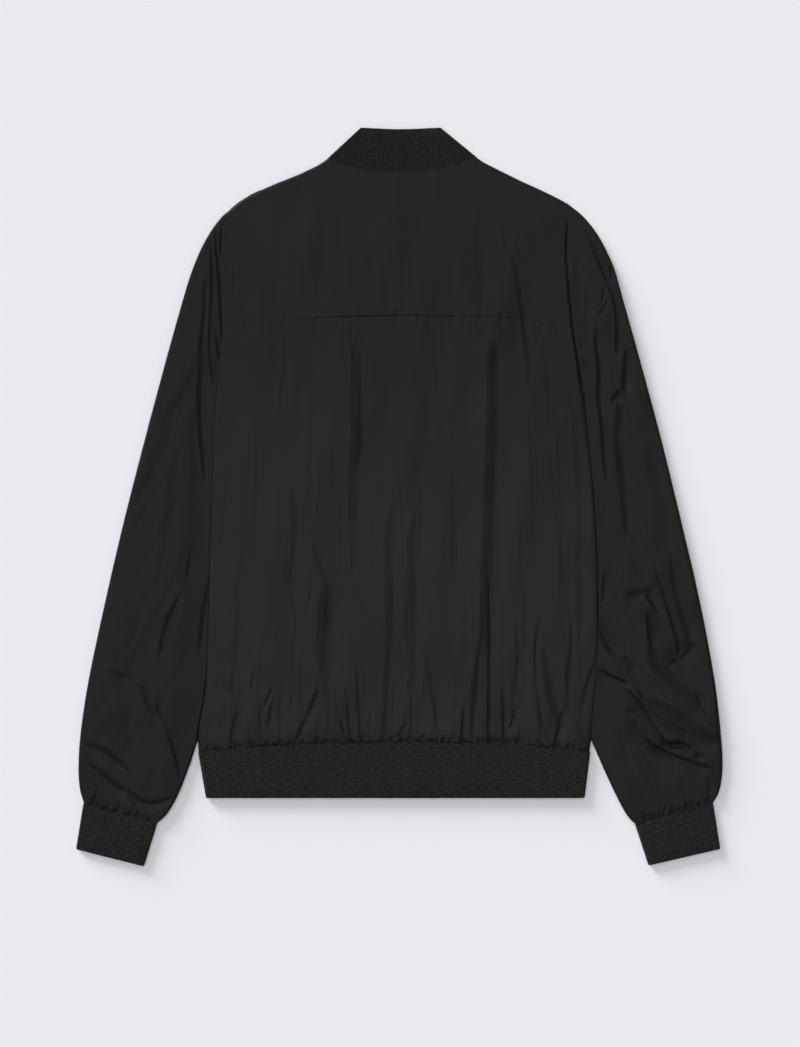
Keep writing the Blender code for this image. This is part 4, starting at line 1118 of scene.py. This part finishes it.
def zip_slider():
    """Two plates, the wedge and flanges between them, and the bridge that holds the pull."""
    left = [(-5.0, 6.0), (-5.0, 1.0), (-4.2, -3.0), (-3.6, -6.0)]
    outline = left + [(-x, y) for x, y in reversed(left)] + [(2.0, 6.0), (0.0, 4.6), (-2.0, 6.0)]
    parts = [(plate(outline, 0.8, 0.18), (0, SLIDER_UP, level)) for level in (3.3, 5.9)]
    wedge = rounded_block((3.0, 3.0, 2.4), 0.3, 2)
    parts.append((wedge, (0, SLIDER_UP + 3.4, 4.6)))
    for sign in (-1, 1):
        for level in (3.95, 5.25):
            flange = rounded_block((0.7, 6.4, 0.75), 0.2)
            parts.append((flange, (sign * 4.5, SLIDER_UP + 2.0, level)))
        post = rounded_block((2.4, 1.1, 2.9), 0.25, 2)
        parts.append((post, (0, SLIDER_UP + sign * 3.7, 1.8)))
    bridge = rounded_block((2.4, 8.4, 0.8), 0.25, 2)
    parts.append((bridge, (0, SLIDER_UP, 0.7)))
    return join_parts("zip_slider_detail", parts)


def zip_pull():
    """A flat tab with a slot, an eye and a raised field, and the bar that turns in the bridge."""
    tab = rounded_outline(7.0, -30.0, 0.6, 1.6)
    slot = rounded_outline(4.0, -5.6, -0.5, 0.9)
    eye = [(EYE_RADIUS * math.cos(turn), EYE_UP + EYE_RADIUS * math.sin(turn))
           for turn in np.linspace(0, math.tau, 17)[:-1]]
    raised = rounded_outline(4.4, -22.8, -8.4, 1.2)
    meshes = (plate(tab, 0.9, 0.16, (slot, eye)), plate(raised, 1.12, 0.12),
              rod(4.6, 0.55, 20, lambda x, y, z: (z, y, -x)))
    return join_parts("zip_pull_detail", [(mesh, (0, SLIDER_UP, PIVOT_HEIGHT)) for mesh in meshes])


def stitch_row(name, side):
    """A row of stitches that holds the front to the zip tape, in the groove that it pulls in."""
    def bent(x, y, z):
        return x, z, y + 0.14 * (2.0 * z / STITCH_LENGTH) ** 2

    stitch = rod(STITCH_LENGTH, THREAD_RADIUS, 6, bent, cuts=2)
    out = OPENING + STITCH_OUT
    ups = np.arange(WAIST_MIDDLE + 4.0, NECK_FRONT_UP - 3.0, STITCH_PITCH)
    places = [(side.sign * out, up, 0.2 + ZIP_LIFT * zip_share(out, up)) for up in ups]
    return repeated(name, stitch, places)


# Materials. Lengths are in metres.

STITCH_ROW = 0.0011      # between two rows of the knit
HERRINGBONE = 0.0022     # width of the tape's herringbone
TWILL = 0.0007           # between two of its ribs


class Wire:
    """A node's output. Arithmetic with it adds Math nodes, so a pattern reads as a sum."""

    def __init__(self, graph, socket):
        self.graph = graph
        self.socket = socket

    def __add__(self, other):
        return self.graph.maths("ADD", self, other)

    __radd__ = __add__

    def __sub__(self, other):
        return self.graph.maths("SUBTRACT", self, other)

    def __rsub__(self, other):
        return self.graph.maths("SUBTRACT", other, self)

    def __mul__(self, other):
        return self.graph.maths("MULTIPLY", self, other)

    __rmul__ = __mul__

    def __pow__(self, other):
        return self.graph.maths("POWER", self, other)

    def sine(self):
        return self.graph.maths("SINE", self)

    def size(self):
        return self.graph.maths("ABSOLUTE", self)

    def part(self):
        return self.graph.maths("FRACT", self)


class Graph:
    """The nodes of one material or of the world."""

    def __init__(self, owner):
        owner.use_nodes = True
        self.owner = owner
        self.tree = owner.node_tree
        self.tree.nodes.clear()

    def node(self, kind, settings=None, inputs=None, output=0):
        node = self.tree.nodes.new(kind)
        for name, value in (settings or {}).items():
            if name == "stops":
                for element, (place, grey) in zip(node.color_ramp.elements, value):
                    element.position = place
                    element.color = (grey, grey, grey, 1.0)
            else:
                setattr(node, name, value)
        for name, value in (inputs or {}).items():
            if isinstance(value, Wire):
                self.tree.links.new(value.socket, node.inputs[name])
            else:
                node.inputs[name].default_value = value
        return Wire(self, node.outputs[output]) if node.outputs else None

    def maths(self, operation, first, second=0.0):
        return self.node("ShaderNodeMath", {"operation": operation}, {0: first, 1: second})

    def place(self):
        """Where a point is on the object."""
        return self.node("ShaderNodeTexCoord", output="Object")

    def scaled(self, vector, scale):
        return self.node("ShaderNodeVectorMath", {"operation": "MULTIPLY"}, {0: vector, 1: scale})

    def noise(self, vector, scale, detail=2.0):
        return self.node("ShaderNodeTexNoise", {}, {"Vector": vector, "Scale": scale, "Detail": detail})

    def stretched(self, vector, scales, detail):
        """Noise of unequal scales along the axes."""
        return self.noise(self.scaled(vector, scales), 1.0, detail)

    def between(self, value, dark, light):
        """A ramp of grey from 0 at the value dark to 1 at the value light."""
        return self.node("ShaderNodeValToRGB", {"stops": ((dark, 0.0), (light, 1.0))}, {"Fac": value})

    def tint(self, factor, colour, dark, light):
        """The colour, from dark times to light times its brightness."""
        ends = [(*(channel * share for channel in colour), 1.0) for share in (dark, light)]
        settings = {"data_type": "RGBA", "blend_type": "MIX"}
        return self.node("ShaderNodeMix", settings, {0: factor, 6: ends[0], 7: ends[1]}, output=2)

    def finish(self, surface_inputs, height=None, distance=0.0001, strength=0.5):
        if height is not None:
            bump = {"Strength": strength, "Distance": distance, "Height": height}
            surface_inputs["Normal"] = self.node("ShaderNodeBump", {}, bump)
        shader = self.node("ShaderNodeBsdfPrincipled", {}, surface_inputs)
        return self.end("ShaderNodeOutputMaterial", shader)

    def end(self, kind, shader):
        self.node(kind, {}, {"Surface": shader})
        return self.owner


def cut_graph(name):
    """A new cloth material's graph, a point's place on the flat cut, and that place's two axes."""
    graph = Graph(bpy.data.materials.new(name))
    cut = graph.node("ShaderNodeUVMap", {"uv_map": CUT_MAP})
    axes = graph.node("ShaderNodeSeparateXYZ", {}, {0: cut})
    return graph, cut, axes, Wire(graph, axes.socket.node.outputs[1])


def shell_material(name, colours, cloth, gloss, reach=None):
    """Smooth polyester: a fine plain weave, faint lengthwise slubs and a soft sheen. Where a reach
    (from, to) along the cut is given, painted light lifts the base colour from one to the other, standing in
    for the lower back catching more light than the yoke; without a reach that painted light stays at one
    level."""
    graph, cut, across, along = cut_graph(name)
    turns = math.tau / cloth.weave
    weave = (across * turns).sine() * (along * turns).sine()
    slubs = graph.stretched(cut, (900.0, 45.0, 1.0), 3.0)
    streaks = graph.stretched(cut, (260.0, 16.0, 1.0), 3.0)
    blotches = graph.noise(cut, 9.0, 3.0)
    tone = blotches * 0.4 + slubs * 0.25 + streaks * 0.35
    painted_light = 0.3
    # Painted light: a smooth ramp along the cut that lifts the base colour, standing in for light and not a
    # dye of the cloth
    if reach:
        limits = {"Value": along, "From Min": reach[0], "From Max": reach[1]}
        painted_light = graph.node("ShaderNodeMapRange", {"interpolation_type": "SMOOTHSTEP"}, limits)
    share = graph.between(tone, 0.3, 0.7) * 0.55 + painted_light * 0.45
    return graph.finish({
        "Base Color": graph.tint(share, colours.shell, 0.72, 1.75), "Roughness": 0.36 + 0.12 * tone,
        "IOR": gloss, "Sheen Weight": 0.02, "Sheen Roughness": 0.45,
    }, weave * 0.6 + slubs * 1.2, 0.00004, 0.6)


def rib_material(name, colours, cloth, depth=1.0):
    """Fine rib knit: columns of stitches, and painted glints: pale specks in the base colour, up to several
    times brighter, that stand in for light caught by the knit's fibres.
    """
    graph, cut, across, along = cut_graph(name)
    slant = ((across * (2.0 / cloth.rib_pitch)).part() - 0.5).size()
    stitches = ((along * (1.0 / STITCH_ROW) + slant * 1.2) * math.tau).sine()
    fleck = graph.stretched(cut, (520.0, 420.0, 1.0), 3.0)
    glint_specks = graph.stretched(cut, (900.0, 760.0, 1.0), 1.0)
    # Painted glints: share lifts the base colour up to 6.6 times where the glint specks show, standing in
    # for light caught by the knit; fleck adds faint random tone
    share = graph.between(fleck, 0.36, 0.66) * 0.22 + graph.between(glint_specks, 0.58, 0.72) * 0.78
    fuzz = graph.noise(cut, 2600.0, 2.0)
    return graph.finish({
        "Base Color": graph.tint(share, colours.rib, 0.76 * depth, 6.6 * depth),
        "Roughness": 0.82 + 0.12 * fuzz, "IOR": 1.1, "Sheen Weight": 0.02, "Sheen Roughness": 0.6,
    }, stitches * 0.7 + fuzz * 1.4 + glint_specks * 1.6, 0.00022, 0.8)


def tape_material(colours):
    """Woven tape in a fine herringbone."""
    graph, cut, across, along = cut_graph("woven_tape")
    slant = ((across * (1.0 / HERRINGBONE)).part() - 0.5).size()
    twill = ((along * (1.0 / TWILL) + slant * 3.0) * math.tau).sine()
    fuzz = graph.noise(cut, 1800.0, 2.0)
    return graph.finish({
        "Base Color": graph.tint(fuzz, colours.tape, 0.8, 1.3), "Roughness": 0.8 + 0.1 * fuzz, "IOR": 1.35,
    }, twill + fuzz, 0.0001, 0.6)


def metal_material(colours):
    """Black nickel with fine tumbling marks."""
    graph = Graph(bpy.data.materials.new("black_nickel"))
    where = graph.place()
    marks = graph.noise(where, 700.0, 4.0)
    wear = graph.between(graph.noise(where, 260.0, 2.0), 0.50, 0.75)
    return graph.finish({
        "Base Color": graph.tint(wear, colours.metal, 1.0, 2.4), "Metallic": 1.0,
        "Roughness": 0.26 + 0.2 * marks,
    }, marks, 0.00002, 0.4)


def thread_material(colours):
    """Twisted polyester thread."""
    graph = Graph(bpy.data.materials.new("thread"))
    twist = graph.stretched(graph.place(), (2500.0, 900.0, 2500.0), 1.0)
    return graph.finish({
        "Base Color": graph.tint(twist, colours.shell, 0.9, 1.8), "Roughness": 0.55 + 0.2 * twist,
        "IOR": 1.4,
    }, twist, 0.00008, 0.6)


def floor_material(colours):
    """Smooth painted board with the faintest unevenness."""
    graph = Graph(bpy.data.materials.new("pale_board"))
    grain = graph.noise(graph.place(), 3.0, 3.0)
    return graph.finish({
        "Base Color": graph.tint(grain, colours.floor, 0.997, 1.003), "Roughness": 0.9 + 0.05 * grain,
        "Specular IOR Level": 0.1,
    })


# Settings

class JacketCloth(bpy.types.PropertyGroup):
    """Sizes of the cloth, the knit and the folds"""
    wall: bpy.props.FloatProperty(name="Cloth", description="Thickness of the shell", default=0.0011,
                                  min=0.0004, max=0.003, unit="LENGTH")
    rib_wall: bpy.props.FloatProperty(name="Knit", description="Thickness of one layer of rib knit",
                                      default=0.0010, min=0.0004, max=0.002, unit="LENGTH")
    rib_pitch: bpy.props.FloatProperty(name="Rib spacing", description="Distance between two ribs",
                                       default=0.0022, min=0.0015, max=0.006, unit="LENGTH")
    rib_relief: bpy.props.FloatProperty(name="Rib depth", description="Half the depth of a rib",
                                        default=0.00016, min=0.0, max=0.0006, unit="LENGTH")
    weave: bpy.props.FloatProperty(name="Weave", description="Distance between two threads of the shell",
                                   default=0.0005, min=0.0002, max=0.002, unit="LENGTH")
    groove: bpy.props.FloatProperty(name="Seam groove", description="How deep a seam draws the cloth in",
                                    default=0.0004, min=0.0, max=0.001, unit="LENGTH")
    crease: bpy.props.FloatProperty(name="Creases", description="Strength of the main creases", default=1.0,
                                    min=0.0, max=1.5, subtype="FACTOR")
    ripple: bpy.props.FloatProperty(name="Ripples", description="Strength of the faint ripples", default=1.0,
                                    min=0.0, max=2.0, subtype="FACTOR")
    gather: bpy.props.FloatProperty(name="Gathers", description="Strength of the puckers at the seams",
                                    default=1.0, min=0.0, max=1.5, subtype="FACTOR")
    tooth_pitch: bpy.props.FloatProperty(name="Tooth spacing",
                                         description="Distance between two teeth of a tape", default=0.0024,
                                         min=0.002, max=0.004, unit="LENGTH")


class JacketColours(bpy.types.PropertyGroup):
    """Colours of the finishes"""
    shell: bpy.props.FloatVectorProperty(name="Shell", description="Polyester of body and sleeves",
                                         default=(0.0060, 0.0060, 0.0060), min=0.0, max=1.0, size=3,
                                         subtype="COLOR")
    rib: bpy.props.FloatVectorProperty(name="Ribs", description="Knit of collar, cuffs and waistband",
                                       default=(0.0070, 0.0070, 0.0070), min=0.0, max=1.0, size=3,
                                       subtype="COLOR")
    tape: bpy.props.FloatVectorProperty(name="Tape", description="Woven tape of the zip",
                                        default=(0.008, 0.008, 0.0085), min=0.0, max=1.0, size=3,
                                        subtype="COLOR")
    metal: bpy.props.FloatVectorProperty(name="Metal", description="Teeth, slider and pull",
                                         default=(0.045, 0.045, 0.048), min=0.0, max=1.0, size=3,
                                         subtype="COLOR")
    floor: bpy.props.FloatVectorProperty(name="Floor", description="Board that the jacket lies on",
                                         default=(0.5863, 0.5785, 0.6102), min=0.0, max=1.0, size=3,
                                         subtype="COLOR")


class JacketStudio(bpy.types.PropertyGroup):
    """Light and camera"""
    key: bpy.props.FloatProperty(name="Key light", description="Strength of the soft key light", default=6.1,
                                 min=0.0, max=20.0)
    key_height: bpy.props.FloatProperty(name="Key height",
                                        description="Angle of the key light above the floor",
                                        default=math.radians(14.0), min=0.1, max=1.5, subtype="ANGLE")
    key_turn: bpy.props.FloatProperty(name="Key direction",
                                      description="Angle of the key light from the left side",
                                      default=math.radians(50.0), min=-3.2, max=3.2, subtype="ANGLE")
    softness: bpy.props.FloatProperty(name="Softness", description="Angle across the key light",
                                      default=math.radians(26.0), min=0.0, max=2.0, subtype="ANGLE")
    fill: bpy.props.FloatProperty(name="Fill light", description="Brightness of the surroundings",
                                  default=0.30, min=0.0, max=3.0)
    overhead: bpy.props.FloatProperty(name="Overhead light", description="Extra brightness straight above",
                                      default=4.6, min=0.0, max=20.0)
    overhead_focus: bpy.props.FloatProperty(name="Overhead focus",
                                            description="How narrow the overhead light is", default=12.0,
                                            min=1.0, max=60.0)
    overhead_lean: bpy.props.FloatProperty(name="Overhead lean",
                                           description="Angle that the overhead light leans",
                                           default=math.radians(9.0), min=0.0, max=1.0, subtype="ANGLE")
    lens: bpy.props.FloatProperty(name="Lens", description="Focal length in millimetres", default=85.0,
                                  min=20.0, max=300.0)
    view_height: bpy.props.FloatProperty(name="View height",
                                         description="Height of the picture on the floor", default=1.1254,
                                         min=0.2, max=5.0, unit="LENGTH")
    centre: bpy.props.FloatVectorProperty(name="View centre", description="Point of the floor in the middle",
                                          size=2, default=(0.00075, -0.0286), subtype="XYZ", unit="LENGTH")


# Operators

class JACKET_OT_back(bpy.types.Operator):
    """Builds the back panel and the yoke with their folds"""
    bl_idname = "jacket.back"
    bl_label = "Back and yoke"

    def execute(self, context):
        cloth = context.scene.jacket_cloth
        lie = Lie(cloth)
        # The pair (0.27, -0.10) is the reach of the painted light: the base colour grows lighter from the
        # yoke down to the lower back
        material = shell_material("shell_body", context.scene.jacket_colours, cloth, 1.15, (0.27, -0.10))
        lower = panel("lower_back", lower_back_plan(), lie.back, (400.0, 462.0),
                      (1.0, (0.5, 3.0), (0.5, 3.0)), (5.0, (0.7, 60.0), (0.6, 14.0)), lie.wall)
        declare(lower, "back_lower", material)
        yoke = panel("yoke", yoke_plan(), lie.back, (375.0, 160.0),
                     (1.5, (0.5, 4.0), (0.5, 4.0)), (3.4, (0.6, 10.0), (0.6, 14.0)), lie.wall)
        declare(yoke, "back_yoke", material)
        return {"FINISHED"}


class JACKET_OT_fronts(bpy.types.Operator):
    """Builds the two fronts, which lie on the surface, and their stitching"""
    bl_idname = "jacket.fronts"
    bl_label = "Fronts"

    def execute(self, context):
        lie = Lie(context.scene.jacket_cloth)
        thread = thread_material(context.scene.jacket_colours)
        for word, side in SIDES:
            front = panel(word + "_front", front_plan(side), lie.front, (195.0, 600.0),
                          (2.5, (0.6, 16.0), (0.7, 6.0)), (4.8, (0.9, 20.0), (0.8, 10.0)), lie.wall)
            declare(front, "front_" + word, bpy.data.materials["shell_body"])
            stitches = stitch_row(word + "_front_stitches", side)
            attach(stitches, "root")
            dress(stitches, thread)
        return {"FINISHED"}


class JACKET_OT_sleeves(bpy.types.Operator):
    """Builds the sleeves with their folds"""
    bl_idname = "jacket.sleeves"
    bl_label = "Sleeves"

    def execute(self, context):
        cloth = context.scene.jacket_cloth
        lie = Lie(cloth)
        material = shell_material("shell_sleeve", context.scene.jacket_colours, cloth, 1.142)
        tables = ((SLEEVE_CREASES_LEFT, (41, 42, 43)), (SLEEVE_CREASES_RIGHT, (51, 52, 53)))
        for (word, side), (creases, seeds) in zip(SIDES, tables):
            piece = sleeve(word + "_sleeve", side, lie, creases, seeds)
            declare(piece, "sleeve_" + word, material)
        return {"FINISHED"}


class JACKET_OT_ribs(bpy.types.Operator):
    """Builds the waistband, the cuffs and the collar of doubled rib knit"""
    bl_idname = "jacket.ribs"
    bl_label = "Waistband, cuffs and collar"

    def execute(self, context):
        cloth, colours = context.scene.jacket_cloth, context.scene.jacket_colours
        pitch = cloth.rib_pitch / MM
        knit = rib_material("rib_knit", colours, cloth)
        band = ribbed("waistband_knit", waistband_strip(pitch), cloth, 61)
        declare(band, "waistband", knit)
        neck = ribbed("collar_knit", collar_strip(pitch), cloth, 62)
        dark = rib_material("rib_knit_dark", colours, cloth, 0.86)
        declare(neck, "collar", dark)
        for (word, side), seed in zip(SIDES, (63, 64)):
            cuff = ribbed(word + "_cuff", cuff_strip(side, pitch), cloth, seed, closed=True)
            declare(cuff, "cuff_" + word, knit)
        return {"FINISHED"}


class JACKET_OT_zip(bpy.types.Operator):
    """Builds the zip under the jacket: tapes, teeth, slider and pull"""
    bl_idname = "jacket.zip"
    bl_label = "Zip"

    def execute(self, context):
        colours = context.scene.jacket_colours
        woven, metal = tape_material(colours), metal_material(colours)
        for word, side in SIDES:
            tape = zip_tape(word + "_tape", side)
            declare(tape, "zip_tape_" + word, woven)
        teeth = zip_teeth(context.scene.jacket_cloth.tooth_pitch / MM)
        for piece, node in ((teeth, "zip_chain"), (zip_slider(), "zip_slider"), (zip_pull(), "zip_pull")):
            declare(piece, node, metal)
        return {"FINISHED"}


class JACKET_OT_stage(bpy.types.Operator):
    """Makes the floor, the soft light and the camera straight above"""
    bl_idname = "jacket.stage"
    bl_label = "Stage"

    def execute(self, context):
        studio = context.scene.jacket_studio
        bm = bmesh.new()
        bmesh.ops.create_grid(bm, x_segments=8, y_segments=8, size=12.0)
        floor = add_object("floor", as_mesh(bm, "floor"))
        floor.location.z = -0.3 * MM
        dress(floor, floor_material(context.scene.jacket_colours))
        sun = bpy.data.lights.new("key", "SUN")
        sun.energy = studio.key
        sun.angle = studio.softness
        key = add_object("key", sun)
        key.rotation_euler = (0.0, math.pi / 2 - studio.key_height, math.pi - studio.key_turn)
        world = bpy.data.worlds.new("studio")
        context.scene.world = world
        graph = Graph(world)
        direction = graph.node("ShaderNodeTexCoord")
        lean = math.sin(studio.overhead_lean)
        axis = (LIGHT_FROM[0] * lean, LIGHT_FROM[1] * lean, math.cos(studio.overhead_lean))
        toward = {0: direction, 1: axis}
        aimed = graph.node("ShaderNodeVectorMath", {"operation": "DOT_PRODUCT"}, toward, output=1)
        overhead = graph.maths("MAXIMUM", aimed, 0.0) ** studio.overhead_focus
        strength = studio.fill + studio.overhead * overhead
        light = graph.node("ShaderNodeBackground", {}, {"Color": (1.0, 1.0, 1.0, 1.0), "Strength": strength})
        graph.end("ShaderNodeOutputWorld", light)
        camera = bpy.data.cameras.new("camera")
        camera.lens = studio.lens
        eye = add_object("camera", camera)
        away = studio.view_height * studio.lens / camera.sensor_width
        eye.location = (*studio.centre, away)
        context.scene.camera = eye
        context.scene.view_settings.view_transform = "Standard"
        return {"FINISHED"}


class JACKET_PT_sidebar(bpy.types.Panel):
    """Settings of the jacket and buttons that build its parts"""
    bl_label = "Bomber jacket"
    bl_idname = "JACKET_PT_sidebar"
    bl_space_type = "VIEW_3D"
    bl_region_type = "UI"
    bl_category = "Jacket"

    def draw(self, context):
        for group in (context.scene.jacket_cloth, context.scene.jacket_colours, context.scene.jacket_studio):
            box = self.layout.box()
            for name in group.bl_rna.properties.keys()[2:]:
                box.prop(group, name)
        for operator in OPERATORS:
            self.layout.operator(operator.bl_idname)


GROUPS = (("jacket_cloth", JacketCloth), ("jacket_colours", JacketColours), ("jacket_studio", JacketStudio))
OPERATORS = (JACKET_OT_back, JACKET_OT_fronts, JACKET_OT_sleeves, JACKET_OT_ribs, JACKET_OT_zip,
             JACKET_OT_stage)
CLASSES = (*(group for _, group in GROUPS), *OPERATORS, JACKET_PT_sidebar)


def register():
    for kind in CLASSES:
        bpy.utils.register_class(kind)
    for name, group in GROUPS:
        setattr(bpy.types.Scene, name, bpy.props.PointerProperty(type=group))


def unregister():
    for name, _ in GROUPS:
        delattr(bpy.types.Scene, name)
    for kind in reversed(CLASSES):
        bpy.utils.unregister_class(kind)


def main():
    register()
    bpy.ops.jacket.back()
    bpy.ops.jacket.fronts()
    bpy.ops.jacket.sleeves()
    bpy.ops.jacket.ribs()
    bpy.ops.jacket.zip()
    bpy.ops.jacket.stage()


if __name__ == "__main__":
    main()
